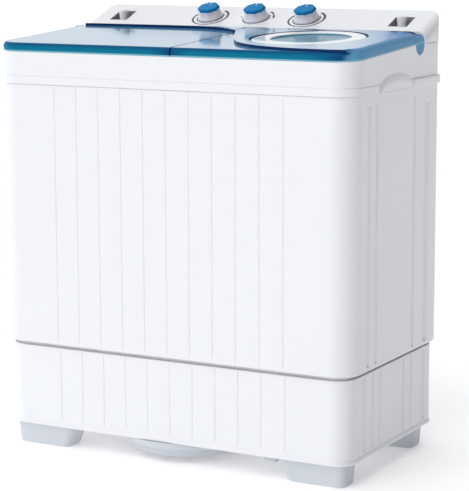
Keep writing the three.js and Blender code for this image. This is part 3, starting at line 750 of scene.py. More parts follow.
# ---- deck
def above_rim(drop):
    far = 1.0
    back = CONSOLE[0].y - 0.3 * MM - drop * 0.75
    return prism_x(
        [(-far, rim_z(-far) - drop), (back, rim_z(back) - drop), (back, SEAT - drop), (far, SEAT - drop),
         (far, far), (-far, far)],
        -far, far,
    )


def handle_arch(side):
    """The arched grip that bulges from the band on one side."""
    low_y, high_y = -102 * MM, 54 * MM
    z0 = DECK[0].z
    rings = []
    for proud, inset in ((-1.6, 0), (-1.0, 0), (0.5, 0.7), (1.6, 2.2), (2.5, 4.6), (3.1, 8), (3.4, 12)):
        ring = []
        steps = 28
        for i in range(steps + 1):
            t = i / steps
            y = low_y + inset * MM + (high_y - low_y - 2 * inset * MM) * t
            z = z0 + 4 * MM + (26 - inset) * MM * math.sin(math.pi * t) ** 0.5 - inset * 0.3 * MM
            ring.append((y, z))
        foot = z0 + min(inset, 1.8) * 0.4 * MM
        ring += [(high_y - inset * MM, foot), (low_y + inset * MM, foot)]
        rings.append([(side * (BAND_X + proud * MM), y, z) for y, z in ring])
    return loft("handle_left" if side < 0 else "handle_right", rings)


def deck_wall():
    """Band and wall of the deck: a lofted skin with the band's fine seam, trimmed to the sloping rim."""
    z0 = DECK[0].z
    seam = z0 + 15 * MM
    rows = [(z0, 3.0), (z0, 1.0), (z0 + 0.4 * MM, 0.3), (z0 + 1.2 * MM, 0.0), (seam - 1.2 * MM, 0.0),
            (seam - 0.4 * MM, 0.4), (seam, 1.6), (seam + 0.6 * MM, 1.3), (seam + 1.4 * MM, 1.1),
            (seam + 8 * MM, 1.0), (z0 + 90 * MM, 1.0)]
    rows += [(z0 + 90 * MM, 3.0), (z0, 3.0)]
    rings = []
    for z, inset in rows:
        x, y, r = BAND_X - inset * MM, BAND_Y - inset * MM, BAND_CORNER - inset * MM
        upper = z > seam and inset < 3
        rear = CONSOLE[1].y if upper else min(y, CONSOLE[1].y - WALL if inset == 3.0 and z > z0 else y)
        rings.append([(a, b, z) for a, b in rounded_outline(-x, x, -y, rear, r, 16)])
    wall = skin("deck_wall", rings, looped=True)
    cut(wall, above_rim(0), hinge_rod(19 * MM, -0.4, 0.4))
    return wall


def side_rail(side):
    """The proud strip that runs from the handle round the rear corner of the band."""
    z0, top = DECK[0].z, DECK[0].z + 15 * MM
    ends = BAND_X + 3.4 * MM
    rings = []
    for z, inset in ((z0 + 1.0 * MM, 8), (z0, 8), (z0, 1.4), (z0 + 0.6 * MM, 0.4), (z0 + 1.8 * MM, 0),
                     (top - 2.4 * MM, 0), (top - 1.0 * MM, 0.4), (top - 0.2 * MM, 1.4), (top, 8)):
        x, y = ends - inset * MM, BAND_Y - 2.2 * MM
        outer = arc_points(0, 0, 1, 0, math.pi / 2, 18)
        ring = [(x, 50 * MM)] + [(x - 47 * MM + 47 * MM * a, y - 47 * MM + 47 * MM * b) for a, b in outer]
        ring += [(x - 53 * MM + 44 * MM * a, y - 53 * MM + 44 * MM * b) for a, b in outer[::-1]]
        ring.append((x - 9 * MM, 50 * MM))
        rings.append([(side * a, b, z) for a, b in ring])
    return loft("rail_left" if side < 0 else "rail_right", rings)


def deck_plate():
    """The top plate inside the wall, with its two wells and the hinge trough."""
    x, y, r = BAND_X - WALL - 0.02 * MM, BAND_Y - WALL - 0.02 * MM, BAND_CORNER - WALL
    rear = CONSOLE[1].y - WALL - 0.02 * MM
    plate = prism(rounded_outline(-x, x, -y, rear, r, 12), 700 * MM, 800 * MM, "deck_plate")
    cut(plate, above_rim(0.15 * MM))
    lower = prism(rounded_outline(-x - 1 * MM, x + 1 * MM, -y - 1 * MM, y + 1 * MM, r), 600 * MM, 800 * MM)
    cut(lower, above_rim(4 * MM))
    cut(plate, lower)
    well = rounded_outline(*mm(-346, -15, -183, 57, 45), 12)
    collars = prism(well, 735 * MM, 775 * MM)
    ring = disc(*mm(117, 735, 775), SPIN_AT.x, SPIN_AT.y, 96)
    join(collars, ring)
    cut(collars, above_rim(0.6 * MM))
    trough = hinge_rod(23.5 * MM, -0.369, 0.369)
    join(trough, common(hinge_rod(28.4 * MM, -0.369, 0.369), block(-1, 1, HINGE.y, 1, 0, 1)))
    cut(trough, above_rim(0.6 * MM))
    join(plate, collars, trough)
    cut(
        plate,
        hinge_rod(20.5 * MM, -0.359, 0.359),
        common(hinge_rod(25.4 * MM, -0.359, 0.359), block(-1, 1, HINGE.y, 1, 0, 1)),
        prism(rounded_outline(*mm(-343, -18, -180, 54, 42), 12), 0.7, 0.8),
        disc(114 * MM, 0.7, 0.8, SPIN_AT.x, SPIN_AT.y, 96),
    )
    return tidy(plate)


def hinge_post(x0, x1, name):
    post = hinge_rod(10 * MM, x0, x1, 40)
    join(post, block(x0, x1, HINGE.y - 10 * MM, HINGE.y + 1 * MM, HINGE.z - 21 * MM, HINGE.z))
    cut(post, hinge_rod(3.3 * MM, x0 - 0.01, x1 + 0.01, 24))
    post.name = name
    return soften(tidy(post), 0.8 * MM)


def build_deck():
    dress(soften(tidy(deck_wall(), 0.1), 0.9 * MM, 3, 38), "housing", "white_shell", "deck")
    dress(soften(deck_plate(), 0.9 * MM, 2, 38), "housing", "white_shell")
    for x0, x1, name in ((-358.5, -352, "hinge_post_left"), (8.3, 14.7, "hinge_post_centre"),
                         (352, 358.5, "hinge_post_right")):
        dress(hinge_post(x0 * MM, x1 * MM, name), "housing", "white_shell")
    for side in (-1, 1):
        dress(handle_arch(side), "housing", "white_shell")
        dress(side_rail(side), "housing", "white_shell")


# ---- lids
def tilt(obj):
    return place(obj, (0, -BAND_Y, RIM_FRONT + 0.4 * MM), RIM_ANGLE, "X")


def round_top_edges(obj, top, width, keep, clamp=True):
    """Rounds the edges of the face at height top, where keep(midpoint) is true."""
    def action(mesh):
        edges = [e for e in mesh.edges
                 if all(abs(v.co.z - top) < 1e-6 for v in e.verts)
                 and keep((e.verts[0].co + e.verts[1].co) / 2)]
        bmesh.ops.bevel(mesh, geom=edges, offset=width, segments=6, profile=0.5, affect="EDGES",
                        clamp_overlap=clamp)
    return edit(obj, action)


def nose_keep(radius):
    keep = block(-1, 1, -1, HINGE.y, 0, 1)
    return join(keep, hinge_rod(radius, -1, 1, 96))


def lid_shell(side):
    outer_x = side * (BAND_X - 0.3 * MM)
    seam_x = LID_SEAM + side * SEAM_GAP
    x0, x1 = min(outer_x, seam_x), max(outer_x, seam_x)
    front = 1.1 * MM
    back = HINGE.y + NOSE + BAND_Y
    corner = BAND_CORNER
    radii = (corner, 0, 0, 0) if side < 0 else (0, corner, 0, 0)
    lid = prism(rounded_outline(x0, x1, front, back + 1 * MM, radii, 16), 0, LID_THICK)
    lid.name = "wash_lid_shell" if side < 0 else "spin_lid_shell"

    def soft_side(p):
        return p.y < back and abs(p.x - seam_x) > 1e-5

    round_top_edges(lid, LID_THICK, 9 * MM, soft_side)
    inner = [max(r - WALL, 0) for r in radii]
    cavity = prism(rounded_outline(x0 + WALL, x1 - WALL, front + WALL, back - 38 * MM, inner, 16),
                   -5 * MM, LID_THICK - WALL)
    round_top_edges(cavity, LID_THICK - WALL, 7 * MM, lambda p: True)
    tilt(lid)
    cut(lid, tilt(cavity))
    common(lid, nose_keep(NOSE))
    ear = (outer_x, outer_x - side * 12 * MM)
    tongue = (seam_x + side * 2 * MM, seam_x + side * 10.5 * MM)
    join(lid, hinge_rod(NOSE, min(ear), max(ear), 96),
         hinge_rod(9 * MM, min(tongue), max(tongue), 48))
    post = sorted((side * 350.5 * MM, side * 360 * MM))
    pin = sorted((side * 350 * MM, side * 370 * MM))
    cut(lid, hinge_rod(12.5 * MM, *post),
        hinge_rod(12.5 * MM, LID_SEAM - 4.6 * MM, LID_SEAM + 4.6 * MM),
        hinge_rod(3.4 * MM, *pin, 24),
        hinge_rod(3.4 * MM, LID_SEAM - 12.5 * MM, LID_SEAM + 12.5 * MM, 24))
    return lid


def s_curve():
    """The edge of the raised field: along the rear of the wash lid, over the seam and round the ring."""
    bends = [(-357, 88), (-130, 86), (-70, 80), (-18, 59), (16, 30), (46, -28), (80, -92), (112, -136),
             (165, -172), (240, -194), (330, -200), (380, -190)]
    points = [Vector((x * MM, y * MM)) for x, y in bends]
    padded = [2 * points[0] - points[1]] + points + [2 * points[-1] - points[-2]]
    path = []
    for i in range(1, len(padded) - 2):
        p0, p1, p2, p3 = padded[i - 1:i + 3]
        for k in range(10):
            t = k / 10
            m1, m2 = (p2 - p0) * 0.4, (p3 - p1) * 0.4
            path.append((2 * t ** 3 - 3 * t ** 2 + 1) * p1 + (t ** 3 - 2 * t ** 2 + t) * m1
                        + (-2 * t ** 3 + 3 * t ** 2) * p2 + (t ** 3 - t ** 2) * m2)
    return path + [points[-1]]


def raised_field(side):
    edge = [(p.x, p.y + BAND_Y) for p in s_curve()]
    split = LID_SEAM + side * SEAM_GAP
    rear = HINGE.y + BAND_Y + 30 * MM
    crossing = next(y for x, y in edge if x > split)
    if side < 0:
        kept = [p for p in edge if p[0] < split - 4 * MM]
        outline = kept + [(split, crossing + 4 * MM), (split, rear), (-357 * MM, rear)]
    else:
        edge_x = BAND_X - 0.3 * MM
        centre = Vector((edge_x - BAND_CORNER, 1.1 * MM + BAND_CORNER))

        def inside(p):
            return p[0] < centre.x or (Vector(p) - centre).length < BAND_CORNER - 2.5 * MM

        kept = [p for p in edge if p[0] > split + 4 * MM and inside(p)]
        last = Vector(kept[-1]) - centre
        start = math.atan2(last.y, last.x) + 0.23
        corner = arc_points(centre.x, centre.y, BAND_CORNER, start, 0, 8)
        ridge = HINGE.y - 20 * MM + BAND_Y
        outline = [(split, crossing)] + kept + corner + [(edge_x, ridge), (357 * MM, ridge + 2 * MM),
                                                          (357 * MM, rear), (split, rear)]
    top = LID_THICK + RAISED
    field = prism(outline, 4 * MM if side > 0 else LID_THICK - 1 * MM, top)
    if side > 0:
        def outer_edge(p):
            return p.x > edge_x - 1 * MM or (p.x > centre.x and (p.xy - centre).length > BAND_CORNER - 1 * MM)

        round_top_edges(field, top, 9 * MM, outer_edge, clamp=False)
        cut(field, block(-1, edge_x - 13 * MM, -1, 1, -1, LID_THICK - 1 * MM))
    field.name = "wash_lid_field" if side < 0 else "spin_lid_field"
    return field


def paint_lid(obj):
    """Paints the lid by face direction with lit and shaded copies of its plastic: the top, the skirt in
    painted teal shade, and the walls of the raised field in painted navy shade.
    """
    obj.data.materials.clear()
    for material in (LID, LID_SKIRT_SHADE, LID_WALL_SHADE):
        obj.data.materials.append(material)
    up = Vector((0, -math.sin(RIM_ANGLE), math.cos(RIM_ANGLE)))
    origin = Vector((0, -BAND_Y, RIM_FRONT))
    for face in obj.data.polygons:
        height = (face.center - origin).dot(up)
        flat = abs(face.normal.dot(up))
        spot = face.center
        ahead = face.normal.y < -0.85 * face.normal.xy.length
        rim = spot.x > 325 * MM and (not ahead if spot.y < -160 * MM else spot.x > 357 * MM)
        in_field = (height > LID_THICK + 0.4 * MM and not rim and spot.x > -357 * MM
                    and spot.y < HINGE.y + 12 * MM)
        if in_field and flat < 0.9:
            face.material_index = 2
        elif flat < 0.93 and (rim or height < LID_THICK + 0.4 * MM):
            face.material_index = 1
    return obj


def build_lids():
    for side, body in ((-1, "wash_lid"), (1, "spin_lid")):
        shell = lid_shell(side)
        field = raised_field(side)
        tilt(field)
        if side > 0:
            ring_y = RING_AT.y + BAND_Y
            recess_floor = LID_THICK + RAISED - 3.5 * MM
            window_y = ring_y + WINDOW_SHIFT * MM
            hole = tilt(disc((RING_INNER + 0.5) * MM, -10 * MM, 60 * MM, RING_AT.x, window_y, 96))
            recess = tilt(disc((RING_OUTER + 4) * MM, recess_floor, 60 * MM, RING_AT.x, ring_y, 96))
            cut(shell, tilt(disc((RING_INNER + 0.5) * MM, -10 * MM, 60 * MM, RING_AT.x, window_y, 96)))
            cut(field, hole, recess)
        common(field, nose_keep(RAISED_NOSE))
        join(shell, field)
        shell = paint_lid(soften(tidy(shell), 0.8 * MM, 3, 38))
        dress(shell, body, "blue_lid", body)
    level = (LID_THICK + RAISED - 3.5 * MM) / MM
    inside, outside = RING_INNER + 0.8, RING_OUTER
    ring_profile = [(inside, level + 0.3), (outside, level + 0.3), (outside - 0.4, level + 2.0),
                    (outside - 3.5, level + 3.1), (outside - 15, level + 3.4), (inside + 3.2, level + 2.8),
                    (inside + 0.4, level + 1.6), (inside, level + 0.3)]
    ring_spot = (RING_AT.x, RING_AT.y + BAND_Y)
    ring = lathe("lid_ring_trim", fillet(ring_profile, 1.2, 3, sharp=(0, 1)), steps=144)

    def set_back(mesh):
        for v in mesh.verts:
            share = (outside * MM - v.co.xy.length) / ((outside - inside) * MM)
            v.co.y += WINDOW_SHIFT * MM * share

    edit(ring, set_back)
    tilt(place(ring, (*ring_spot, 0)))
    dress(shade(outward(ring), 50), "spin_lid", "lid_ring", "lid_ring")
    pane = RING_INNER
    dome = [(0, level - 4), (pane, level - 4), (pane, level - 0.4)]
    for i in range(1, 10):
        angle = i * math.pi / 20
        dome.append((pane * math.cos(angle), level - 0.4 - 2.4 * math.sin(angle)))
    dome.append((0, level - 2.8))
    window = tilt(lathe("lid_window_pane", dome, (RING_AT.x, RING_AT.y + BAND_Y + WINDOW_SHIFT * MM), 144))
    dress(shade(outward(window), 50), "spin_lid", "lid_window", "lid_window")


# ---- console, knobs, inlets
def console_form(inset, bottom):
    y0 = CONSOLE[0].y + inset
    top = CONSOLE[1].z - inset
    back = CONSOLE[1].y - inset
    profile = [(y0, bottom), (back, bottom), (back, top - 3 * MM), (back - 1.6 * MM, top - 0.8 * MM),
               (back - 4 * MM, top), (y0, top)]
    reach = BAND_X - inset
    form = prism_x(profile, -reach, reach)
    corner = BAND_CORNER - inset
    common(form, prism(rounded_outline(-reach, reach, -reach, back, corner, 16), 0.7, 0.9))
    end = CONSOLE_END - inset
    slope = prism_y(rounded_outline(-reach, reach, -0.15, -inset, (0, 0, end, end), 12), -0.15, 0.15)
    common(form, on_face(slope, 0, FACE_POINT.y))
    top_corner = 25 * MM
    front = rounded_outline(-reach, reach, 0.7, top, (0, 0, top_corner, top_corner), 12)
    return common(form, prism_y(front, 0, 0.3))


def on_face(obj, x, y):
    return place(obj, (x, y, face_z(y)), FACE_ANGLE, "X")


def build_console():
    shell = console_form(0, SEAT + 0.9 * MM)
    shell.name = "console_shell"
    for spot in KNOBS.values():
        cut(shell, on_face(disc(*mm(7, -20, 20), steps=32), spot.x, spot.y))
    for side in (-1, 1):
        low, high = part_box("water_inlet_left" if side < 0 else "water_inlet_right")
        gap = 0.3 * MM
        cut(shell, block(low.x - gap, high.x + gap, low.y - gap, high.y + gap, low.z, 0.9))
    cut(shell, console_form(WALL, 0.7))
    dress(soften(tidy(shell, 0.2), 3.0 * MM, 4, 30), "housing", "white_shell", "console")
    for side in (-1, 1):
        build_inlet(side)


def build_inlet(side):
    node = "water_inlet_left" if side < 0 else "water_inlet_right"
    low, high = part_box(node)
    x = (low.x + high.x) / 2
    lip = 1.2 * MM
    floor = low.z + lip
    cup = block(low.x, high.x, low.y, high.y, low.z, 0.85)
    under = prism_x([(0, 0.7), (0.3, 0.7), (0.3, face_z(0.3)), (0, face_z(0))], x - 0.05, x + 0.05)
    common(cup, under)
    cut(cup, block(low.x + lip, high.x - lip, low.y + lip, high.y - lip, floor, 0.9))
    cut(cup, disc(6 * MM, 0.7, 0.9, x, SPOUT_Y, 32))
    cup.name = node + "_pocket"
    # The pocket's grey is painted shade.
    dress(soften(tidy(cup), 0.5 * MM), "housing", "grey_plastic", node, material=POCKET_SHADE)
    top = high.z / MM
    profile = [(6, 799), (8.6, 799), (9, 808), (10, top - 3), (9.6, top - 0.8), (8.6, top), (7.2, top - 0.6),
               (6.6, top - 3), (6, 808), (6, 799)]
    spout = lathe(node + "_spout", fillet(profile, 1.5, 3), (x, SPOUT_Y), 64)
    dress(shade(spout, 50), "housing", "white_shell", material=WHITE)


FLUTES = 8
FLUTE_DEPTH = 1.0 * MM
FLUTE_FOOT = 4 * MM
FLUTE_RISE = 8 * MM
CAP_SIDE = math.pi / 4


def build_knobs():
    for name, spot in KNOBS.items():
        body = name + "_knob"
        profile = [(0, -8), (5, -8), (5, 1), (24.6, 1), (25, 1.6), (24.8, 3.0), (23.6, 5.4), (22.4, 9),
                   (21.6, 13), (21.4, 16.6), (20.6, 17.2), (0, 17.2)]
        skirt = lathe(name + "_skirt", fillet(profile, 1.2, 3), steps=96)

        def flute(mesh):
            for v in mesh.verts:
                radius = math.hypot(v.co.x, v.co.y)
                if radius > 15 * MM and v.co.z > FLUTE_FOOT:
                    angle = math.atan2(v.co.y, v.co.x)
                    rise = min(1, (v.co.z - FLUTE_FOOT) / FLUTE_RISE)
                    dent = FLUTE_DEPTH / 2 * (1 + math.cos(FLUTES * angle)) * rise
                    v.co.x *= 1 - dent / radius
                    v.co.y *= 1 - dent / radius

        edit(skirt, flute)
        on_face(skirt, spot.x, spot.y)
        dress(shade(skirt, 50), body, "knob_body", body)
        top = [(0, 17.5), (21.2, 17.5), (21.8, 18), (21.8, 20.4), (21.2, 22.4), (20, 23.3), (16, 23.7),
               (8, 23.4), (0, 23.2)]
        cap = lathe(name + "_top", top, steps=96)

        def facet(mesh):
            for v in mesh.verts:
                radius = math.hypot(v.co.x, v.co.y)
                if radius > 1 * MM:
                    angle = (math.atan2(v.co.y, v.co.x) + CAP_SIDE / 2) % CAP_SIDE - CAP_SIDE / 2
                    flat = math.cos(CAP_SIDE / 2) / math.cos(angle)
                    v.co.x *= flat
                    v.co.y *= flat

        edit(cap, facet)
        on_face(cap, spot.x, spot.y)
        dress(shade(cap, 30), body, "knob_cap", name + "_cap")
        mark = prism(rounded_outline(*mm(-0.8, 0.8, 6, 15.5, 0.7), 4), 22.8 * MM, 24 * MM)
        mark.name = name + "_pointer"
        on_face(soften(mark, 0.2 * MM), spot.x, spot.y)
        dress(mark, body, "knob_body", material=WHITE)
        build_dial(name, spot)


INK_SUNK = -0.3
INK_PROUD = 0.12


def dial_band(name, inner, outer, start, end, spot):
    """An arc of ink on the console's face, wider at its ends than in the middle: the printed dial arcs, and
    the inner arc beside each knob's foot, which is painted shadow.
    """
    steps = 48
    verts, faces = [], []
    for i in range(steps + 1):
        t = i / steps
        angle = math.radians(start + (end - start) * t)
        swell = 0.4 + 0.6 * abs(math.cos(math.pi * t)) ** 0.7
        far = inner + (outer - inner) * swell
        for radius, z in ((inner, INK_SUNK), (far, INK_SUNK), (far, INK_PROUD), (inner, INK_PROUD)):
            verts.append((radius * MM * math.cos(angle), radius * MM * math.sin(angle), z * MM))
    for i in range(steps):
        a, b = 4 * i, 4 * i + 4
        for k in range(4):
            faces.append([a + k, a + (k + 1) % 4, b + (k + 1) % 4, b + k])
    faces += [[0, 1, 2, 3], [4 * steps + 3, 4 * steps + 2, 4 * steps + 1, 4 * steps]]
    band = outward(new_object(name, verts, faces))
    on_face(band, spot.x, spot.y)
    return dress(band, "housing", "white_shell", material=INK_PRINT_AND_SHADOW)


def build_dial(name, spot):
    if name == "drain_selector":
        dial_band(name + "_dial_outer", 33.2, 37.6, 4, 62, spot)
        dot = on_face(disc(*mm(2.2, INK_SUNK, INK_PROUD, -34.5, 4), 24), spot.x, spot.y)
        dot.name = name + "_dial_dot"
        dress(dot, "housing", "white_shell", material=INK_PRINT_AND_SHADOW)
        count, first, step = 3, 180, 90
    else:
        dial_band(name + "_dial_outer", 33.6, 38.2, -248, 62, spot)
        count, first, step = 11, -225, 27
    # Painted shadow: a dark arc of ink just outside the knob's foot stands for the shade under the knob.
    dial_band(name + "_foot_shadow", 25.6, 27.8, -190, 40, spot)
    ticks = []
    for i in range(count):
        tick = block(*mm(29.6, 31.8, -0.35, 0.35, INK_SUNK, INK_PROUD))
        ticks.append(place(tick, (0, 0, 0), math.radians(first + step * i)))
    scale = join(*ticks)
    scale.name = name + "_dial_ticks"
    on_face(scale, spot.x, spot.y)
    dress(scale, "housing", "white_shell", material=INK_PRINT_AND_SHADOW)


# ---- inside: tubs, pulsator, basket, filter
def build_wash_tub():
    x0, x1, y0, y1, corner = -351, -10, -188, 62, 48
    rows = [(282, 14), (284, 8), (289, 2.5), (296, 0), (736, 0), (737.5, -1), (737.5, -5.6), (738.5, -6),
            (740.4, -6), (741, -5.4), (741, 1.8), (740, 3), (600, 3), (450, 3.4), (301, 4), (294, 6),
            (288.5, 11), (285.6, 19), (285.2, 24)]
    rings = []
    for z, inset in rows:
        outline = rounded_outline(x0 + inset, x1 - inset, y0 + inset, y1 - inset, corner - inset, 12)
        rings.append([(x * MM, y * MM, z * MM) for x, y in outline])
    tub = loft("wash_tub_shell", rings)
    pin = spot_of("drain_grille")
    cut(tub, disc(16.3 * MM, 0, 0.4, PULSATOR_AT.x, PULSATOR_AT.y), disc(14 * MM, 0, 0.4, pin.x, pin.y, 32))
    dress(shade(tub, 40), "housing", "tub_plastic", "wash_tub")
    ribs = []
    for x in range(-300, -40, 26):
        ribs.append(tub_rib(x, y0 + 3, 0))
        if not -240 < x < -140:
            ribs.append(tub_rib(x, y1 - 3, 180))
    for y in (-130, -100, -70, -40, -10):
        ribs.append(tub_rib(x0 + 3, y, -90))
        ribs.append(tub_rib(x1 - 3, y, 90))
    for i, rib in enumerate(ribs):
        rib.name = f"wash_tub_rib_{i + 1}"
        dress(rib, "housing", "tub_plastic")


def spot_of(node):
    low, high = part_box(node)
    return (low + high) / 2


def tub_rib(x, y, turn):
    """A slim rounded rib that stands against a wall of the tub and faces its middle."""
    rings = []
    for z, size in ((330, 0.3), (331.5, 0.7), (335, 0.95), (345, 1), (600, 1), (610, 0.95), (614, 0.7),
                    (616, 0.3)):
        arc = [(4.5 * size * math.cos(a * math.pi / 8), 3.2 * size * math.sin(a * math.pi / 8))
               for a in range(9)]
        rings.append([(a, b, z) for a, b in arc + [(-4.5 * size, -1.2), (4.5 * size, -1.2)]])
    rib = loft("rib", [[Vector(v) * MM for v in ring] for ring in rings])
    return place(rib, (x * MM, y * MM, 0), math.radians(turn))


def build_filter():
    rest = block(*mm(-232, -148, 53, 60.5, 540, 690))
    cut(rest, block(*mm(-222, -158, 50, 56, 552, 680)))
    rest.name = "filter_rest"
    dress(soften(rest, 1.5 * MM, 3), "housing", "tub_plastic")
    frame_part = block(*mm(-228, -152, 38, 52.6, 545, 700))
    cut(frame_part, block(*mm(-221, -159, 41), 0.06, 552 * MM, 690 * MM))
    windows = [block(-216 * MM, -164 * MM, 0.03, 45 * MM, z * MM, (z + 36) * MM) for z in (558, 600, 642)]
    cut(frame_part, *windows)
    frame_part.name = "lint_filter_frame"
    dress(soften(tidy(frame_part), 1.2 * MM, 3), "lint_filter", "pulsator_plastic", "lint_filter")
    verts, faces = [], []

    def thread(a, b, thick):
        low = [min(a[i], b[i]) - (thick if a[i] == b[i] else 0) for i in range(3)]
        high = [max(a[i], b[i]) + (thick if a[i] == b[i] else 0) for i in range(3)]
        start = len(verts)
        for x in (low[0], high[0]):
            for y in (low[1], high[1]):
                for z in (low[2], high[2]):
                    verts.append((x * MM, y * MM, z * MM))
        for face in ((0, 1, 3, 2), (4, 6, 7, 5), (0, 4, 5, 1), (2, 3, 7, 6), (0, 2, 6, 4), (1, 5, 7, 3)):
            faces.append([start + i for i in face])

    for i in range(27):
        x = -218 + 2.15 * i
        thread((x, 42.2, 553), (x, 42.2, 689), 0.28)
    for i in range(50):
        z = 555 + 2.7 * i
        thread((-220.5, 42.7, z), (-159.5, 42.7, z), 0.28)
    net = outward(new_object("lint_filter_net", verts, faces))
    dress(net, "lint_filter", "tub_plastic")


def build_pulsator():
    at = (PULSATOR_AT.x, PULSATOR_AT.y)
    profile = [(0, 292), (104, 292), (110, 296), (109, 300), (88, 302.5), (70, 304), (52, 307), (40, 312),
               (28, 322), (20, 323.8), (13, 324), (12, 321), (0, 321)]
    dish = lathe("pulsator_disc", fillet(profile, 2.5, 4), at, 144)
    for i in range(6):
        vane = prism_x([(-5 * MM, 298 * MM), (5 * MM, 298 * MM), (1.9 * MM, 317 * MM), (-1.9 * MM, 317 * MM)],
                       30 * MM, 100 * MM)
        soften(vane, 1.6 * MM, 4)
        place(vane, (*at, 0), i * math.pi / 3)
        vane.name = f"pulsator_vane_{i + 1}"
        dress(vane, "pulsator", "pulsator_plastic")
    angles = [math.radians(30 + 60 * k + off) for k in range(6) for off in (-9, 0, 9)]
    holes = [disc(2.2 * MM, 0.28, 0.35, at[0] + r * MM * math.cos(a), at[1] + r * MM * math.sin(a), 12)
             for r in (62, 76, 90) for a in angles]
    cut(dish, join(*holes))
    dress(shade(dish, 35), "pulsator", "pulsator_plastic", "pulsator")
    head = [(0, 320), (9, 320), (9, 322.4), (7.6, 324.6), (4, 325.6), (0, 325.8)]
    screw = lathe("pulsator_screw", head, at, 48)
    cut(screw, block(at[0] - 5 * MM, at[0] + 5 * MM, at[1] - 0.8 * MM, at[1] + 0.8 * MM, 0.3236, 0.33),
        block(at[0] - 0.8 * MM, at[0] + 0.8 * MM, at[1] - 5 * MM, at[1] + 5 * MM, 0.3236, 0.33))
    dress(shade(screw, 35), "pulsator", "steel")


def build_spin_tub():
    at = (SPIN_AT.x, SPIN_AT.y)
    profile = [(30, 262), (114, 262), (122, 266), (124, 272), (124, 736), (125, 737.5), (130, 737.5),
               (130, 741), (122, 741), (121, 739.5), (121, 276), (118, 268), (110, 265), (30, 265), (30, 262)]
    tub = lathe("spin_tub_shell", fillet(profile, 1.2, 3), at, 128)
    dress(shade(tub, 40), "housing", "tub_plastic", "spin_outer_tub")
    stud = lathe("brake_post", [(0, 186), (3.4, 186), (4, 187), (4, 262.5), (0, 262.5)], (0.255, -0.014), 32)
    dress(shade(stud, 40), "housing", "tub_plastic")


HOLE_SIDES = 10
HOLE_RADIUS = 2.4


def build_basket():
    at = (SPIN_AT.x, SPIN_AT.y)
    profile = [(7.4, 340), (30, 340), (40, 346), (96, 346), (104, 350), (108, 358), (108, 690), (110, 694),
               (110, 698.6), (108.6, 700), (99.4, 700), (98, 698.8), (97, 696), (105.5, 690), (105.5, 360),
               (101, 352), (95, 349), (38, 349), (28, 366), (12, 372), (7.4, 372), (7.4, 340)]
    shell = lathe("spin_basket_shell", fillet(profile, 1.5, 3), at, 144)
    columns, rows = ((30, 9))
    verts, faces = [], []
    for i in range(columns):
        angle = 2 * math.pi * i / columns
        for k in range(rows):
            z = (385 + k * 290 / (rows - 1)) * MM
            twist = angle + (math.pi / columns if k % 2 else 0)
            out = Vector((math.cos(twist), math.sin(twist), 0))
            across = Vector((-out.y, out.x, 0))
            start = len(verts)
            for reach in (102 * MM, 111 * MM):
                for j in range(HOLE_SIDES):
                    a = 2 * math.pi * j / HOLE_SIDES
                    spot = Vector((*at, z)) + out * reach + across * HOLE_RADIUS * MM * math.cos(a)
                    verts.append(spot + Vector((0, 0, HOLE_RADIUS * MM * math.sin(a))))
            near, far = [[start + end + j for j in range(HOLE_SIDES)] for end in (0, HOLE_SIDES)]
            faces += [[near[j], near[(j + 1) % HOLE_SIDES], far[(j + 1) % HOLE_SIDES], far[j]]
                      for j in range(HOLE_SIDES)]
            faces += [near[::-1], far]
    cut(shell, outward(new_object("holes", verts, faces)))
    dress(shade(shell, 35), "spin_basket", "tub_plastic", "spin_basket")


def build_press_plate():
    at = (SPIN_AT.x, SPIN_AT.y)
    profile = [(31, 370), (92, 370), (95, 373), (95, 377), (92, 380), (88, 380), (86, 378), (42, 378),
               (40, 380), (31, 380), (31, 370)]
    plate = lathe("press_plate_disc", fillet(profile, 1.2, 3), at, 96)
    holes = [disc((4.5 if ring == 62 else 3) * MM, 0.36, 0.39, at[0] + ring * MM * math.cos(a),
                  at[1] + ring * MM * math.sin(a), 20)
             for ring, count in ((52, 12), (62, 12), (76, 18)) for a in
             [2 * math.pi * (k + (0.5 if ring == 62 else 0)) / count for k in range(count)]]
    cut(plate, *holes)
    dress(shade(plate, 35), "press_plate", "pulsator_plastic", "press_plate")


def build_rear():
    low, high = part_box("rear_cover")
    cover = prism_y(rounded_outline(low.x, high.x, low.z, high.z, 12 * MM, 8), low.y, high.y)
    slots = [prism_y(rounded_outline(*mm(-90, 90, 330 + 16 * i, 336 + 16 * i, 2.9), 6), 0.2, 0.21)
             for i in range(6)]
    cut(cover, *slots)
    cover.name = "rear_cover_panel"
    dress(soften(tidy(cover), 0.5 * MM, 3), "housing", "foot_plastic", "rear_cover")
    spots = [(x, z) for x in (-295, 0, 295) for z in (266, 654)] + [(x, 460) for x in (-295, 295)]
    for i, (x, z) in enumerate(spots):
        head = lathe(f"rear_screw_{i + 1}", [(0, -0.6), (4, -0.6), (4, -0.2), (3.2, 0.1), (0, 0.12)],
                     steps=32)
        cut(head, block(*mm(-2.4, 2.4, -0.4, 0.4, -0.3), 0.01),
            block(*mm(-0.4, 0.4, -2.4, 2.4, -0.3), 0.01))
        place(head, (x * MM, high.y, z * MM), -math.pi / 2, "X")
        dress(shade(head, 35), "housing", "steel", material=STEEL)


def refine(node):
    """Rounds the edges of a CAD node that stays as it is, on a copy that stands for it."""
    source = frame["nodes"][node]
    copy = new_object(node + "_fine", [], [])
    copy.data = source.data.copy()
    copy.data.transform(source.matrix_world)
    copy.data.materials.clear()

    def weld(mesh):
        bmesh.ops.remove_doubles(mesh, verts=mesh.verts, dist=2e-6)
        bmesh.ops.dissolve_limit(mesh, angle_limit=math.radians(1), verts=mesh.verts, edges=mesh.edges)
        bmesh.ops.recalc_face_normals(mesh, faces=mesh.faces)

    edit(copy, weld)
    soften(copy, 0.5 * MM, 2, 32, 32)
    dress(copy, body_of(source)[0], SUBPARTS[node], node)


SUBPARTS = {part["node"]: part["material_slot"] for part in frame["record"]["subparts"]}


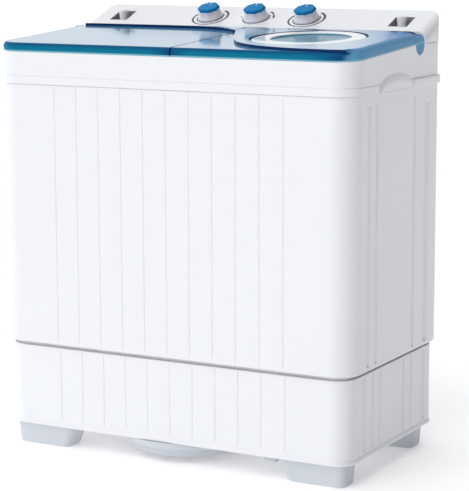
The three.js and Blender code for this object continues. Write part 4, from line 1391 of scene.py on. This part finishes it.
build_cabinet()
build_base()
build_feet()
build_motor_guard()
build_deck()
build_lids()
build_console()
build_knobs()
build_wash_tub()
build_filter()
build_pulsator()
build_spin_tub()
build_basket()
build_press_plate()
build_rear()
for name, node in frame["nodes"].items():
    if not node.hide_render:
        refine(name)


# ---- stage, lights and camera
LEFT_SKY = 1.0
RIGHT_SKY = 0.02
FLOOR_GLOW = 0.24
SKY_SPREAD = (0.14, 0.62)
SUN_FROM = (-0.06, -0.80, 1.05)
SUN_POWER = 0.66
SUN_SPREAD = 40
LENS = 140.8
CAMERA_REACH = 3.653
CAMERA_TURN = (28.72, 9.52, -0.17)


def build_stage():
    reach = 45
    square = [(-reach, -reach, 0), (reach, -reach, 0), (reach, reach, 0), (-reach, reach, 0)]
    floor = new_object("floor", square, [[0, 1, 2, 3]])
    material, tree, shader = node_material("floor_white")
    feed(tree, shader, {
        "Base Color": mix(tree, noise(tree, 3, 2), (0.96, 0.96, 0.96), (0.95, 0.95, 0.955)),
        "Roughness": 0.7, "Emission Color": (1, 1, 1, 1), "Emission Strength": FLOOR_GLOW,
    })
    floor.data.materials.append(material)
    floor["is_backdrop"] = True
    world = bpy.data.worlds.new("studio")
    world.use_nodes = True
    tree = world.node_tree
    split = add(tree, "SeparateXYZ", {"Vector": add(tree, "TexCoord", {}).outputs["Generated"]})
    side = add(tree, "MapRange", {
        "Value": split.outputs["X"], "From Min": SKY_SPREAD[0], "From Max": SKY_SPREAD[1],
        "To Min": LEFT_SKY, "To Max": RIGHT_SKY,
    }, interpolation_type="SMOOTHSTEP")
    feed(tree, tree.nodes["Background"], {"Strength": side.outputs["Result"], "Color": (0.98, 0.99, 1.0, 1)})
    bpy.context.scene.world = world


def build_light():
    data = bpy.data.lights.new("key", "SUN")
    data.energy = SUN_POWER
    data.angle = math.radians(SUN_SPREAD)
    light = bpy.data.objects.new("key", data)
    light.rotation_euler = Vector(SUN_FROM).to_track_quat("Z", "Y").to_euler()
    bpy.context.scene.collection.objects.link(light)


def build_camera():
    camera = bpy.data.objects.new("camera", bpy.data.cameras.new("camera"))
    camera.data.sensor_width = 36
    camera.data.sensor_fit = "AUTO"
    camera.data.lens = LENS
    camera.data.clip_end = 50
    yaw, pitch, roll = [math.radians(turn) for turn in CAMERA_TURN]
    target = Vector((28.91, 0, 386.02)) * MM
    back = Vector((math.sin(yaw) * math.cos(pitch), -math.cos(yaw) * math.cos(pitch), math.sin(pitch)))
    camera.location = target + back * CAMERA_REACH
    aim = back.to_track_quat("Z", "Y").to_matrix() @ Matrix.Rotation(roll, 3, "Z")
    camera.rotation_euler = aim.to_euler()
    bpy.context.scene.collection.objects.link(camera)
    bpy.context.scene.camera = camera
    bpy.context.scene.view_settings.view_transform = "Standard"


build_stage()
build_light()
build_camera()


def corners(bounds):
    return [[float(value) for value in corner] for corner in bounds]


{"cad": corners(CAD_BOX), "visual": corners(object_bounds())}
